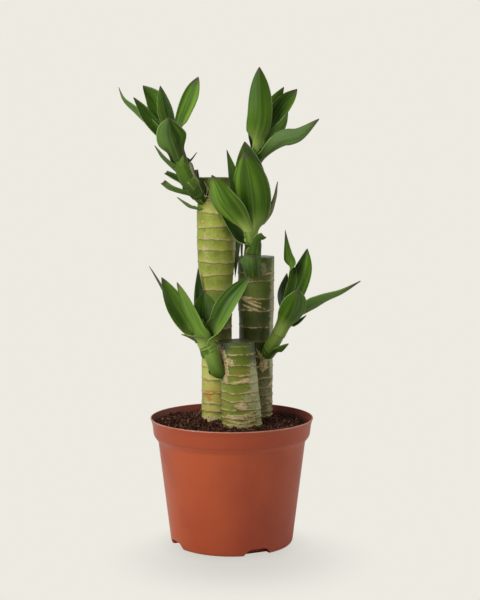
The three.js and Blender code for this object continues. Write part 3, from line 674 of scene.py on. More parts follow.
def dry_husk(cane):
    """Papery strips, from greyish green to straw."""
    material, net, shader = surface("Dry husk", 0.8, 0.2)
    base = net.tint(net.value("straw"), cane.husk, cane.straw)
    grain = net.clouds(net.place(), 1400.0, 0.35, 0.7)
    base = net.over(base, [c * 0.45 for c in cane.straw], grain, 0.5)
    finish_surface(net, shader, base, None, grain, 0.0001, 0.5)
    return material


# ---- Pot ----


def curve_points(ends, pulls, steps):
    """Points on a Bezier curve between two ends, pulled by one or two points, without its start."""
    line = [Vector(p) for p in (ends[0], *pulls, ends[1])]
    points = []
    for i in range(1, steps + 1):
        row = line
        while len(row) > 1:
            row = [a.lerp(b, i / steps) for a, b in zip(row, row[1:])]
        points.append(tuple(row[0]))
    return points


def pot_line(pot, inset, bottom):
    """The wall's line from the axis at the bottom to the flared lip, moved in by inset."""
    lift = 0.0003
    foot = pot.base_radius - inset
    points = [(0, bottom), (foot + inset - pot.corner, bottom)]
    points += curve_points((points[-1], (foot + lift, bottom + pot.corner)), [(foot, bottom)], 5)
    wall = (pot.neck_radius - inset, pot.neck_bottom)
    points.append(wall)
    band = (pot.band_radius - inset, pot.band_bottom)
    pulls = [(wall[0] + 0.0001, pot.neck_bottom + 0.0028), (band[0] - 0.0005, pot.band_bottom - 0.0032)]
    points += curve_points((wall, band), pulls, 12)
    lip = (pot.rim_radius - pot.lip_flare - inset, pot.height - pot.lip_height)
    points += [(lip[0] - 0.0006, lip[1] - 0.0022), (lip[0] - 0.0003, lip[1] - 0.0007), lip]
    points.append((mix(lip[0], pot.rim_radius - inset, 0.5), pot.height - pot.lip_height / 2))
    return points


def boolean(piece, cutters, operation):
    """Cuts the cutters from a piece, or joins them to it, and applies that."""
    for cutter in cutters:
        change = piece.modifiers.new("Cut", "BOOLEAN")
        change.operation = operation
        change.solver = "EXACT"
        change.object = cutter
    bpy.context.view_layer.update()
    graph = bpy.context.evaluated_depsgraph_get()
    made = bpy.data.meshes.new_from_object(piece.evaluated_get(graph))
    piece.modifiers.clear()
    old = piece.data
    piece.data = made
    bpy.data.meshes.remove(old)
    for cutter in cutters:
        bpy.data.objects.remove(cutter)


def loose(name, bm):
    """A working object, which is used up by a cut."""
    mesh = bpy.data.meshes.new(name)
    bm.to_mesh(mesh)
    bm.free()
    made = bpy.data.objects.new(name, mesh)
    bpy.context.scene.collection.objects.link(made)
    return made


def rotated(bm, degrees):
    """Turns a bmesh round the pot's axis."""
    matrix = Matrix.Rotation(math.radians(degrees), 3, "Z")
    bmesh.ops.rotate(bm, verts=bm.verts, cent=(0, 0, 0), matrix=matrix)
    return bm


NOTCH_TURNS = (-65, 25, 115, 205)  # degrees from the front, to the right


def notch_block(pot, turn, grow):
    """The block that shapes a foot notch: a low arch that runs in from the wall."""
    half, height = pot.notch_width / 2 + grow, pot.notch_height + grow
    flare, floor = 0.002, -0.001
    right = curve_points(((half + flare, floor), (half - 0.005, height)), [(half, height)], 8)
    outline = [(half + flare, floor), *right, *((-x, z) for x, z in reversed(right)), (-half - flare, floor)]
    bm = bmesh.new()
    inner = grow - pot.base_radius + pot.notch_depth
    face = bm.faces.new([bm.verts.new((x, inner, z)) for x, z in outline])
    grown = bmesh.ops.extrude_face_region(bm, geom=[face])["geom"]
    ends = [part for part in grown if isinstance(part, bmesh.types.BMVert)]
    bmesh.ops.translate(bm, verts=ends, vec=(0, -pot.notch_depth - 0.01, 0))
    bmesh.ops.recalc_face_normals(bm, faces=bm.faces)
    return loose("notch", rotated(bm, turn))


def drain_block(pot, turn):
    """The upright rod that cuts a drain hole through the roof of a notch."""
    bm = bmesh.new()
    radius = pot.drain_radius
    bmesh.ops.create_cone(bm, cap_ends=True, segments=32, radius1=radius, radius2=radius, depth=0.02)
    bmesh.ops.translate(bm, verts=bm.verts, vec=(0, pot.notch_depth / 2 - pot.base_radius, 0))
    return loose("drain", rotated(bm, turn))


class PLANT_OT_pot(bpy.types.Operator):
    """Build the plastic pot with its rim band, lip, foot notches and drain holes"""

    bl_idname = "plant.pot"
    bl_label = "Pot"

    def execute(self, context):
        pot = context.scene.pot_settings
        wall, rim = pot.wall, pot.rim_radius
        under_lip = pot.height - wall / 2
        crest = (rim - wall / 2, pot.height)
        outside = [*pot_line(pot, 0, 0), (rim, under_lip)]
        outside += curve_points((outside[-1], crest), [(rim, pot.height)], 4)
        outside += [(0, pot.height)]
        inside = [*pot_line(pot, wall, wall), (rim - wall, under_lip)]
        inside += curve_points((inside[-1], crest), [(rim - wall, pot.height)], 4)
        above = pot.height + 0.005
        inside += [(crest[0], above), (0, above)]
        body = loose("body", spun(outside, pot.sides))
        boolean(body, [notch_block(pot, turn, 0) for turn in NOTCH_TURNS], "DIFFERENCE")
        hollow = loose("hollow", spun(inside, pot.sides))
        boolean(hollow, [notch_block(pot, turn, wall) for turn in NOTCH_TURNS], "DIFFERENCE")
        boolean(body, [hollow, *(drain_block(pot, turn) for turn in NOTCH_TURNS)], "DIFFERENCE")
        bm = bmesh.new()
        bm.from_mesh(body.data)
        bpy.data.objects.remove(body)
        bmesh.ops.remove_doubles(bm, verts=bm.verts, dist=2 * MERGE)
        bmesh.ops.dissolve_degenerate(bm, edges=bm.edges, dist=MERGE)
        if any(not edge.is_manifold for edge in bm.edges):
            raise RuntimeError("the pot isn't closed")
        inside = bm.verts.layers.float.new("inside")
        skin = [(height, radius) for radius, height in outside if radius > pot.corner]
        for vert in bm.verts:
            depth = along(skin, vert.co.z) - math.hypot(vert.co.x, vert.co.y)
            vert[inside] = smooth(depth / wall - 0.1) * (vert.co.z > pot.notch_height + 2 * wall)
        piece_from("pot_shell", bm, pot_plastic(pot), "pot", sharp=32)
        return {"FINISHED"}


# ---- Soil ----


def soil_height(soil, pot, x, y):
    """Height of the soil's surface without its fine lumps."""
    reach = pot.band_radius
    inward = 1 - math.hypot(x, y) / reach
    wide, deep = x / MM, y / MM
    lump = math.sin(wide * 0.42 + deep * 0.2) * math.sin(deep * 0.37 - wide * 0.15 + 1)
    return soil.edge - soil.tilt * x / reach + soil.heap * smooth(inward * 2) + soil.lump * lump


def soil_grain(x, y):
    """Fine lumps of the soil, in metres."""
    place = Vector((x, y, 0)) / MM
    coarse = noise.noise(place / 7.0) * 0.8
    middle = noise.noise(place / 2.3 + Vector((9, 3, 1))) * 0.5
    fine = noise.noise(place / 0.9 + Vector((4, 7, 5))) * 0.35
    return (coarse + middle + fine) * MM


class PLANT_OT_soil(bpy.types.Operator):
    """Build the soil with its crumbs and fibres"""

    bl_idname = "plant.soil"
    bl_label = "Soil"

    def execute(self, context):
        soil, pot = context.scene.soil_settings, context.scene.pot_settings
        self.draw = Random(11)
        gap = 0.0003
        inset = pot.wall + gap
        bottom = pot.notch_height + 2 * pot.wall
        rings, sides = 84, 320
        reach = along(
            [(pot.band_bottom, pot.band_radius), (pot.height, pot.rim_radius)],
            soil.edge - soil.tilt - soil.lump - 0.001,
        ) - inset
        wall = [point for point in pot_line(pot, inset, 0) if bottom < point[1] <= pot.band_bottom]
        low = pot.base_radius - inset
        profile = [(0, bottom), (low, bottom), *wall]
        profile += [(reach * (1 - i / rings), soil.edge) for i in range(rings + 1)]
        bm = spun(profile, sides)
        pale = bm.verts.layers.float.new("pale")
        for vert in bm.verts:
            x, y, z = vert.co
            if z > soil.edge - MERGE:
                hold = smooth((reach - math.hypot(x, y)) / 0.002)
                vert.co.z = soil_height(soil, pot, x, y) + soil_grain(x, y) * mix(0.3, 1, hold)
        earth = soil_earth(soil)
        piece_from("soil_bed", bm, earth, "soil")
        bm = bmesh.new()
        self.scatter(bm, self.crumb, soil.crumbs, (soil, pot, reach))
        self.scatter(bm, self.fibre, soil.fibres, (soil, pot, reach))
        piece_from("soil_crumbs", bm, earth)
        return {"FINISHED"}

    def scatter(self, bm, build, count, where):
        """Adds many small bodies to a bmesh, in batches, because one large bmesh is slow to add to."""
        batch = 100
        for start in range(0, count, batch):
            part = bmesh.new()
            part.verts.layers.float.new("pale")
            for _ in range(start, min(start + batch, count)):
                build(part, *where)
            mesh = bpy.data.meshes.new("batch")
            part.to_mesh(mesh)
            part.free()
            bm.from_mesh(mesh)
            bpy.data.meshes.remove(mesh)

    def spot(self, reach, near_cane):
        """A random place on the soil, or close round a cane."""
        draw = self.draw
        level = 88  # height of the soil round the canes
        if draw.random() < near_cane:
            spec = draw.choice(list(CANES.values()))
            radius = (along(spec["radii"], level) + draw.uniform(0, 3)) * MM
            turn = draw.uniform(0, FULL_TURN)
            x, y = (value * MM for value in spec["foot"])
            return x + radius * math.cos(turn), y + radius * math.sin(turn)
        radius = reach * math.sqrt(draw.random()) * 0.985
        turn = draw.uniform(0, FULL_TURN)
        return radius * math.cos(turn), radius * math.sin(turn)

    def crumb(self, bm, soil, pot, reach):
        """One squashed, uneven crumb."""
        draw = self.draw
        x, y = self.spot(reach - 0.0012, 0.16)
        size = mix(0.0003, 0.0017, draw.random() ** 2.6)
        made = bmesh.ops.create_icosphere(bm, subdivisions=1, radius=size)["verts"]
        pale = bm.verts.layers.float["pale"]
        shade = draw.random() ** 9 * 0.8
        height = soil_height(soil, pot, x, y) + soil_grain(x, y) + size * draw.uniform(-0.2, 0.6)
        squash = Matrix.Diagonal((1, draw.uniform(0.6, 1), draw.uniform(0.5, 0.9)))
        turn = Euler([draw.uniform(0, FULL_TURN) for _ in range(3)]).to_matrix()
        for vert in made:
            vert.co = turn @ squash @ (vert.co * draw.uniform(0.75, 1.2)) + Vector((x, y, height))
            vert[pale] = shade

    def fibre(self, bm, soil, pot, reach):
        """One bent fibre that lies on the soil."""
        draw = self.draw
        x, y = self.spot(reach - 0.006, 0.25)
        heading = draw.uniform(0, FULL_TURN)
        points = []
        run = draw.uniform(0.0008, 0.0016)
        for _ in range(5):
            lift = soil_height(soil, pot, x, y) + soil_grain(x, y) + draw.uniform(0.0003, 0.0018)
            points.append((x, y, lift))
            heading += draw.uniform(-0.8, 0.8)
            x += math.cos(heading) * run
            y += math.sin(heading) * run
        strand = Line(points)
        shade = draw.uniform(0.05, 0.9) ** 1.5
        pale = bm.verts.layers.float["pale"]
        rows, sides = 7, 4
        thick = draw.uniform(0.00012, 0.0003)
        made = bmesh.ops.create_cone(
            bm, cap_ends=True, segments=sides, radius1=thick, radius2=thick, depth=2
        )["verts"]
        edges = [
            edge for vert in made for edge in vert.link_edges
            if vert.co.z < 0 < edge.other_vert(vert).co.z
        ]
        bmesh.ops.subdivide_edges(bm, edges=edges, cuts=rows - 1, use_grid_fill=True)
        bm.verts.ensure_lookup_table()
        count = sides * (rows + 1)
        for vert in bm.verts[-count:]:
            share = (vert.co.z + 1) / 2
            along_it = strand.heading(share)
            side = squared(Vector((0, 0, 1)), along_it)
            taper = 1 - 0.6 * share
            width, depth = vert.co.x * taper, vert.co.y * taper
            vert.co = strand.at(share) + side * width + along_it.cross(side) * depth
            vert[pale] = shade


# ---- Canes ----


def mark(kind, turn, height, half_width, half_height, strength=1.0, slant=0.0):
    """A patch on a cane: its turn from the front in degrees, and its sizes in millimetres."""
    return kind, math.radians(turn), height, half_width, half_height, strength, slant


MARKS = {  # patches: turn, height, half width, half height, strength and slant
    "tall": {
        "cork": [(-42, 237.6, 1.2, 0.9), (-31, 212, 0.7, 1.7), (64, 226.5, 1.9, 1.5), (5, 244, 1.6, 1.0),
            (-40, 217.6, 2.4, 1.3), (-34, 227, 1.6, 2.2, 0.5), (-20, 91.5, 12, 2.6, 0.62),
            (-45, 121.5, 5, 0.8, 0.8), (20, 98, 5, 1.2, 0.8), (-30, 103.5, 4, 0.8, 0.8)],
        "rust": [(-42, 237.4, 2.6, 1.8, 0.5), (-24, 250.5, 3.6, 1.2, 0.45), (-31, 109.5, 3.2, 3.4, 0.9),
            (-20, 112.3, 8, 0.9, 1.0), (-62, 121, 2.6, 1.4, 0.8), (10, 105, 4, 3, 0.5),
            (-25, 98, 9, 1.4, 0.7), (-20, 110, 14, 10, 0.38)],
        "wax_and_sheen": [(74, 222, 3.5, 16, 0.8), (-28, 254.5, 9, 3.2, 0.5), (-30, 219, 2.4, 14, 0.35)],
    },
    "middle": {
        "cork": [(-16, 176.4, 8, 0.9, 1.0, -0.42), (-40, 180.2, 5, 1.2), (-22, 173.2, 6, 0.7, 1.0, -0.3),
            (-2, 177.3, 4, 0.5, 0.9, -0.3), (27, 130, 2.8, 4.2), (66, 116, 5, 1.6, 0.8, 0.5),
            (58, 103, 4, 2.0, 0.6, -0.4), (50, 96, 3, 2.4, 0.6), (60, 187, 3, 1.6, 0.6, -0.8)],
        "wax_and_sheen": [(66, 172, 3.4, 38, 0.8), (66, 132, 3, 12, 0.9), (40, 133, 2, 5, 0.7), (20, 202, 3, 4.5, 0.7),
            (30, 103, 12, 14, 0.45)],
        "rust": [(-15, 179, 6, 1.6, 0.6)],
    },
    "front": {
        "cork": [(-66, 146, 3.4, 3.4), (-50, 142, 3, 3.2), (-28, 138, 3.6, 2.0), (-38, 132, 1.8, 4.4),
            (-46, 126, 2.4, 3, 0.8), (3, 105.8, 4.8, 2.1), (22, 124.4, 3.6, 1.4), (10, 123.2, 6, 0.8),
            (46, 113, 4, 1.2, 0.6, -0.4), (8, 98.6, 13, 0.9, 0.9), (-18, 97.4, 8, 1.4, 0.8),
            (0, 90.6, 17, 1.4, 0.6, 0.05), (30, 100.5, 7, 0.6, 0.8, 0.2), (-12, 93.8, 9, 0.6, 0.8, -0.12),
            (24, 94.6, 5, 1.0, 0.9, 0.15)],
        "wax_and_sheen": [(54, 123, 4.6, 13, 1.0), (42, 110, 7, 9, 0.75), (-60, 118, 3, 20, 0.3),
            (10, 149, 8, 0.7, 0.5), (62, 102, 4, 12, 0.9)],
        "rust": [(20, 131.6, 9, 0.7, 0.6), (0, 128.2, 8, 0.8, 0.6), (0, 93.5, 14, 1.6, 0.4)],
        # Patches of painted shadow, where a shoot and the other canes shade this cane.
        "painted_shade": [(-58, 146, 5.5, 6.5), (-30, 149, 3, 2.5, 0.7), (64, 141, 4, 9, 0.8)],
    },
}

TINTS = {  # lower, upper and shade colours, and the cut face
    "tall": ((0.475, 0.485, 0.112), (0.215, 0.262, 0.028), (0.060, 0.108, 0.007), (0.055, 0.08, 0.02)),
    "middle": ((0.17, 0.16, 0.044), (0.115, 0.175, 0.021), (0.027, 0.048, 0.006), (0.36, 0.32, 0.30)),
    "front": ((0.222, 0.235, 0.036), (0.104, 0.158, 0.015), (0.056, 0.110, 0.006), (0.11, 0.10, 0.055)),
}
TINT_RANGES = {"tall": (0.125, 0.205), "middle": (0.115, 0.15), "front": (0.095, 0.145)}
KINDS = ("cork", "rust", "wax_and_sheen", "painted_shade")


def cane_axis(spec, height):
    """Centre of a cane at a height, in millimetres."""
    share = (height - PLANTED) / (spec["top"][2] - PLANTED)
    foot, top = spec["foot"], spec["top"]
    return Vector((mix(foot[0], top[0], share), mix(foot[1], top[1], share), height))


def ring_lines(rings, around, wave):
    """The heights of a cane's rings at a number of places round it."""
    lines = []
    for i, ring in enumerate(rings):
        swing = noise.noise(around * 0.9 + Vector((0, 0, i * 3.7))) * wave
        ripple = noise.noise(around * 3.5 + Vector((5, 0, i * 5.3))) * wave * 0.45
        fray = noise.noise(around * 14 + Vector((1, 8, i * 2.3))) * wave * 0.16
        lines.append(ring + swing + ripple + fray)
    return lines


class PLANT_OT_canes(bpy.types.Operator):
    """Build the ringed canes with their cut tops"""

    bl_idname = "plant.canes"
    bl_label = "Canes"

    def execute(self, context):
        settings = context.scene.cane_settings
        for name, spec in CANES.items():
            bm = self.cane(name, spec, settings)
            piece_from(f"cane_{name}_stalk", bm, cane_skin(name, settings), f"cane_{name}")
        return {"FINISHED"}

    def cane(self, name, spec, settings):
        top = spec["top"][2]
        bevel, caps = 0.6, 7
        cut_reach = 1.5  # how far below the cut its rim is uneven
        step = settings.step / MM
        fine = math.ceil((top - bevel - SOIL_LINE) / step)
        heights = [PLANTED, PLANTED + 20, *(mix(SOIL_LINE, top - bevel, i / fine) for i in range(fine + 1))]
        profile = [(0, PLANTED), *((1, height) for height in heights)]
        profile += [(0.985, top - 0.2), (0.955, top)]
        profile += [(0.955 * (1 - i / caps), top) for i in range(1, caps + 1)]
        bm = spun(profile, settings.sides)
        labels = ("scar", "under", "part", "cut", "shade", *KINDS)
        layers = {label: bm.verts.layers.float.new(label) for label in labels}
        wave, width = settings.ring_wave / MM, settings.ring_width / MM
        marks = [mark(kind, *row) for kind, rows in MARKS[name].items() for row in rows]
        columns = {}
        for vert in bm.verts:
            share = math.hypot(vert.co.x, vert.co.y)
            turn = math.atan2(vert.co.y, vert.co.x)
            height = vert.co.z
            side = Vector((math.cos(turn), math.sin(turn), 0))
            key = round(turn * settings.sides / FULL_TURN) % settings.sides
            if key not in columns:
                columns[key] = ring_lines(spec["rings"], side, wave)
            scar, under, part = self.ring(columns[key], height, width, side)
            radius = along(spec["radii"], height)
            radius += noise.noise(Vector((side.x * 1.3, side.y * 1.3, height / 14))) * 0.35
            masks = self.masks(marks, side, height, radius)
            rough = noise.noise(Vector((side.x, side.y, height / radius)) * 9)
            radius += scar * settings.ring_rise / MM - under * 0.18 + masks["cork"] * (0.35 + 0.45 * rough)
            on_side = share > 0.99
            if height > top - cut_reach and not on_side:
                grain = noise.noise(Vector((side.x, side.y, share * 3)) * 2.2)
                height += (masks["cork"] + 0.8) * 0.5 * grain * share
            elif height > top - cut_reach:
                height += noise.noise(side * 2.2 + Vector((0, 0, share * 3))) * 0.3
            vert.co = (cane_axis(spec, height) + side * radius * min(share, 1)) * MM
            vert[layers["scar"]] = scar * on_side
            vert[layers["under"]] = under * on_side
            vert[layers["part"]] = part
            # Painted shade: the height table darkens where leaves and other canes shade the cane, most on its
            # front, and both flanks darken as a lit cylinder's sides would.
            flank = abs(math.sin(math.atan2(side.x, -side.y) + 0.25)) ** 3
            ahead = smooth(0.75 - 0.75 * side.y)
            vert[layers["shade"]] = along(spec["shade"], height) * mix(0.4, 1, ahead) + 0.45 * flank
            vert[layers["cut"]] = smooth((0.99 - share) / 0.03) if height > top - cut_reach else 0.0
            for kind in KINDS:
                vert[layers[kind]] = masks[kind] * on_side
        return bm

    def ring(self, lines, height, width, side):
        """The masks of the scar, of the brown line and painted shadow under it with a darker band below, and
        the internode's own tone.
        """
        reach = 6  # how far from its line a ring shows
        scar = under = part = 0.0
        for i, line in enumerate(lines):
            off = height - line
            if abs(off) < reach:
                wide = width * (0.75 + 0.9 * noise.noise(side * 4 + Vector((3, 1, i * 1.9))))
                worn = min(1.0, 0.95 + 0.9 * noise.noise(side * 6 + Vector((7, 2, i * 4.1))))
                scar = max(scar, worn * math.exp(-((off / wide) ** 2)))
                under = max(under, math.exp(-(((off + wide * 1.3) / (width * 0.7)) ** 2)))
                if off < 0:
                    under = max(under, 0.62 * math.exp(off / 1.7))
            if off >= 0:
                part = i + min(off / 10, 0.99)
        return scar, under * (1 - scar), part

    def masks(self, marks, side, height, radius):
        """How much of each kind of patch covers a place."""
        found = dict.fromkeys(KINDS, 0.0)
        turn = math.atan2(side.x, -side.y)
        grain = noise.noise(Vector((side.x * radius, side.y * radius, height)) * 0.55) * 0.5
        grain += noise.noise(Vector((side.x * radius, side.y * radius, height)) * 1.5) * 0.35
        for kind, centre, level, half_width, half_height, strength, slant in marks:
            if abs(height - level) > 2 * half_height + 12 * abs(slant):
                continue
            around = (turn - centre + math.pi) % FULL_TURN - math.pi
            run = around * radius
            away = math.hypot(run / half_width, (height - level - run * slant) / half_height)
            found[kind] = max(found[kind], strength * smooth(1.6 - away + grain))
        return found


def cane_skin(name, cane):
    """A cane's skin: green internodes with painted shade, tan leaf scars, patches and the dried cut."""
    lower, upper, shade, cut_face = TINTS[name]
    bright = [min(c * 1.5, 1) for c in lower]
    material, net, shader = surface(f"{name.title()} cane", 0.4, 0.22)
    place = net.place()
    base = net.tint(net.ranged(net.height(place), *TINT_RANGES[name]), lower, upper)
    part = net.value("part")
    step = net.math("FLOOR", part)
    own = net.add("TexWhiteNoise", {"W": step}, noise_dimensions="1D").outputs["Value"]
    blotches = net.clouds(place, 95.0, 0.42, 0.62, 4.0)
    # Dark green clouds, each internode at its own strength, and painted shade from the shade values, deeper
    # still above 1.
    dark = net.times(blotches, net.ranged(own, 0, 1, 0.35, 0.85))
    dark = net.math("MAXIMUM", dark, net.value("shade"))
    base = net.tint(dark, base, shade)
    base = net.tint(net.ranged(dark, 1, 2), base, [c * 0.3 for c in shade])
    base = net.over(base, bright, net.clouds(place, 420.0, 0.35, 0.75, 4.0), 0.1)
    low_end = net.ranged(net.minus(part, step), 0.0, 0.6)
    base = net.tint(net.ranged(low_end, 0, 1, 0.3, 0.0), base, [min(c * 1.25, 1) for c in lower])
    fibres = net.streaks(place, 1300.0, 90.0, 0.3, 0.75)
    base = net.over(base, bright, fibres, 0.14)
    torn = net.clouds(place, 900.0, 0.3, 0.7, 4.0)
    edge = net.ranged(torn, 0, 1, -0.22, 0.22)

    def patch(label, low, high):
        return net.ranged(net.plus(net.value(label), edge), low, high)

    # Patches of painted shadow.
    base = net.tint(patch("painted_shade", 0.25, 0.9), base, cane.painted_shade)
    # Pale powdery coat, partly painted sheen and highlight streaks on the canes' edges and fronts.
    base = net.over(base, cane.wax_and_sheen, patch("wax_and_sheen", 0.22, 0.95), 0.75)
    base = net.over(base, cane.rust, patch("rust", 0.2, 0.9), 0.8)
    # A brown line under each scar, partly painted shadow, and a darker band below it.
    base = net.over(base, cane.scar_shade, patch("under", 0.25, 0.9), 0.65)
    cork_shade = [c * share for c, share in zip(cane.cork, (0.42, 0.34, 0.30))]
    cork_tone = net.tint(net.clouds(place, 750.0, 0.42, 0.75, 5.0), cane.cork, cork_shade)
    cork = patch("cork", 0.3, 0.62)
    base = net.tint(cork, base, cork_tone)
    worn = net.clouds(place, 260.0, 0.25, 0.75, 3.0)
    scar_tone = net.tint(worn, cane.scar, [c * 0.62 for c in cane.scar])
    scar = patch("scar", 0.28, 0.7)
    base = net.over(base, scar_tone, scar, 0.92)
    cut_grain = net.tint(net.clouds(place, 700.0, 0.3, 0.7, 5.0), cut_face, [c * 0.5 for c in cut_face])
    base = net.tint(net.value("cut"), base, cut_grain)
    dull = net.math("MAXIMUM", cork, scar)
    relief = net.plus(net.times(fibres, 0.3), net.times(torn, dull))
    finish_surface(net, shader, base, net.ranged(dull, 0, 1, 0.36, 0.85), relief, 0.0004, 0.6)
    return material


# ---- Shoots ----


def spaced(values):
    """Pairs of a share from 0 to 1 and a value, evenly spaced."""
    last = max(len(values) - 1, 1)
    return [(i / last, value) for i, value in enumerate(values)]


class Stem:
    """What a leaf grows from: a line with a radius along it, in millimetres."""

    def __init__(self, points, radii, tones_and_shading=(0.3,), nodes=(), young=0):
        self.line = Line(points)
        self.radii = radii
        self.tones_and_shading = spaced(tones_and_shading)
        self.nodes = nodes
        self.young = young

    def radius(self, share):
        return along(self.radii, share)

    def node(self, share):
        """How far a place is on the ridge of a node, and on the dark line under it."""
        ridge = line = 0.0
        for at in self.nodes:
            off = (share - at) * self.line.length
            ridge = max(ridge, math.exp(-((off / 0.7) ** 2)))
            line = max(line, math.exp(-(((off + 0.7) / 0.5) ** 2)))
        return ridge, line


class Blade:
    """A leaf's form: where a share across and a share along it lie, in millimetres."""

    def __init__(self, stem, form, settings):
        self.form = form
        core = stem.line.at(form["start"])
        upward = stem.line.heading(form["start"])
        self.outward = squared(Vector(form["via"]) - core, upward)
        sheath = settings.sheath / MM
        self.radius = stem.radius(form["start"]) + settings.sheath_rise / MM
        begin = core + self.outward * self.radius
        guide = [form["via"], *([form["beyond"]] if form["beyond"] else []), form["tip"]]
        self.rib = Line([begin, begin + upward * sheath, *guide])
        self.held = sheath / self.rib.length
        self.faces = Vector(form["faces"]).normalized()
        self.turned = Vector(form["turn"]).normalized()
        self.rows = {}
        middle = self.rib.heading(0.5)
        self.hand = 1 if middle.cross(squared(self.faces, middle)).x >= 0 else -1

    def row(self, share):
        """A row's centre, side, inner direction, half width, tilt, bend and hold on the stem."""
        if share not in self.rows:
            form = self.form
            hold = 1 - smooth((share - self.held * 0.5) / (self.held + 0.1))
            tangent = self.rib.heading(share)
            turned = smooth((share - form["twist"]) * 2 + 0.5)
            looks = self.faces.lerp(self.turned, turned).lerp(-self.outward, hold)
            inner = squared(looks, tangent)
            belly = form["belly"]
            if share < belly:
                spread = mix(form["neck"], 1, smooth(share / belly))
            else:
                spread = mix(1, form["cut"], ((share - belly) / (1 - belly)) ** form["taper"])
            half = mix(form["width"] / 2 * spread, self.radius * form["clasp"], hold)
            tilt = mix(form["fold"], 0, hold)
            bend = mix(form["curl"], form["clasp"], hold)
            self.rows[share] = self.rib.at(share), tangent.cross(inner), inner, half, tilt, bend, hold
        return self.rows[share]

    def place(self, across, share):
        centre, side, inner, half, tilt, bend, hold = self.row(share)
        angle = tilt + bend * abs(across)
        out = math.copysign((math.sin(angle) - math.sin(tilt)) / bend, across)
        lift = (math.cos(tilt) - math.cos(angle)) / bend
        ripple = noise.noise(Vector((self.radius * 7, across * 1.5, share * 5)))
        lift += ripple * 0.07 * abs(across) * (1 - hold) * smooth(share * 4)
        return centre + side * out * half + inner * lift * half


def leafy_mesh():
    """An empty bmesh with the UV map and the values that the leaves' material reads."""
    bm = bmesh.new()
    bm.loops.layers.uv.new("Blade")
    for label in ("tone", "bloom", "young", "dry", "stalk", "own"):
        bm.verts.layers.float.new(label)
    return bm


def flat_grid(bm, across, rows):
    """A flat grid from -1 to 1 both ways, which keeps its places as its UV map."""
    made = bmesh.ops.create_grid(bm, x_segments=across, y_segments=rows, size=1)["verts"]
    uv = bm.loops.layers.uv["Blade"]
    for vert in made:
        for loop in vert.link_loops:
            loop[uv].uv = ((vert.co.x + 1) / 2, (vert.co.y + 1) / 2)
    return made


def thicken(bm, before, thickness):
    """Gives a thickness to the faces that weren't there before."""
    faces = [face for face in bm.faces if face not in before]
    bmesh.ops.solidify(bm, geom=faces, thickness=thickness)


def add_stem(bm, stem):
    """The stem, as a grid rolled round its line and closed at both ends."""
    sides, rows = 32, 150
    made = flat_grid(bm, sides, rows)
    layers = bm.verts.layers.float
    for vert in made:
        turn = vert.co.x * math.pi
        share = (vert.co.y + 1) / 2
        heading = stem.line.heading(share)
        side = squared(Vector((0, -1, 0.2)), heading)
        round_it = side * math.cos(turn) + heading.cross(side) * math.sin(turn)
        wobble = noise.noise(Vector((math.cos(turn), math.sin(turn), share * 9)))
        ridge, line = stem.node(share + 0.012 * wobble)
        radius = stem.radius(share) * (1 + 0.05 * wobble) * mix(0.72, 1, smooth(share / 0.12))
        vert.co = (stem.line.at(share) + round_it * (radius + 0.3 * ridge - 0.2 * line)) * MM
        # Tone along the stem, which holds painted shade too, lighter on a node's ridge.
        vert[layers["tone"]] = along(stem.tones_and_shading, share) + 0.2 * ridge
        vert[layers["dry"]] = 0.75 * line
        vert[layers["young"]] = stem.young * smooth(share * 3)
        vert[layers["stalk"]] = 1.0
        vert[layers["own"]] = 0.3
    bmesh.ops.remove_doubles(bm, verts=made, dist=MERGE)
    open_edges = [edge for edge in bm.edges if edge.is_boundary]
    bmesh.ops.holes_fill(bm, edges=open_edges, sides=sides + 1)


def add_leaf(bm, blade, number, settings):
    """One leaf, as a grid bent to its form and given a thickness."""
    form = blade.form
    before = set(bm.faces)
    made = flat_grid(bm, settings.across, settings.rows)
    layers = bm.verts.layers.float
    tones_and_shading = spaced(form["tones_and_shading"])
    for vert in made:
        across, share = vert.co.x, (vert.co.y + 1) / 2
        vert.co = blade.place(across, share) * MM
        # Tone across the leaf as seen from the front, with painted light and shade.
        seen = (across * blade.hand + 1) / 2
        ends = form["low"] * (1 - smooth(share * 2.2)) + form["high"] * smooth(share * 2 - 1)
        vert[layers["tone"]] = along(tones_and_shading, seen) + ends
        # The powdery coat and painted glare change from left to right and grow towards the tip.
        vert[layers["bloom"]] = mix(*form["bloom"], smooth(seen * 3 - 1)) * smooth(share * 3 - 0.6)
        middle = 1 - 0.7 * abs(across)
        vert[layers["young"]] = form["pale"] * (1 - smooth((share - 0.12) / 0.3)) * middle
        tip = smooth((share - 1 + form["ends"]) / (form["ends"] * 0.9))
        vert[layers["dry"]] = max(tip * 0.85, form["dry"] * smooth(share * 2.2 - 0.9))
        vert[layers["own"]] = number + 0.5
    thicken(bm, before, settings.thickness)


class PLANT_OT_shoots(bpy.types.Operator):
    """Build the leafy shoots"""

    bl_idname = "plant.shoots"
    bl_label = "Shoots"

    def execute(self, context):
        settings = context.scene.leaf_settings
        skin = leaf_skin(settings)
        for name, spec in SHOOTS.items():
            bm = leafy_mesh()
            stem = Stem(spec["stem"], spaced(spec["radii"]), spec["tones_and_shading"], spec["nodes"], spec["young"])
            add_stem(bm, stem)
            for i, form in enumerate(spec["leaves"]):
                add_leaf(bm, Blade(stem, form, settings), i, settings)
            piece_from(f"shoot_{name}_leaves", bm, skin, f"shoot_{name}")
        spec = CANES["tall"]
        top = spec["top"][2]
        sunk = 1.6  # how deep the small leaf's sheath starts in the cane
        radii = [((height - PLANTED) / (top - PLANTED), radius - sunk) for height, radius in spec["radii"]]
        stem = Stem((cane_axis(spec, PLANTED), spec["top"]), radii)
        bm = leafy_mesh()
        add_leaf(bm, Blade(stem, BRACT, settings), 20, settings)
        piece_from("cane_tall_bract", bm, skin)
        return {"FINISHED"}


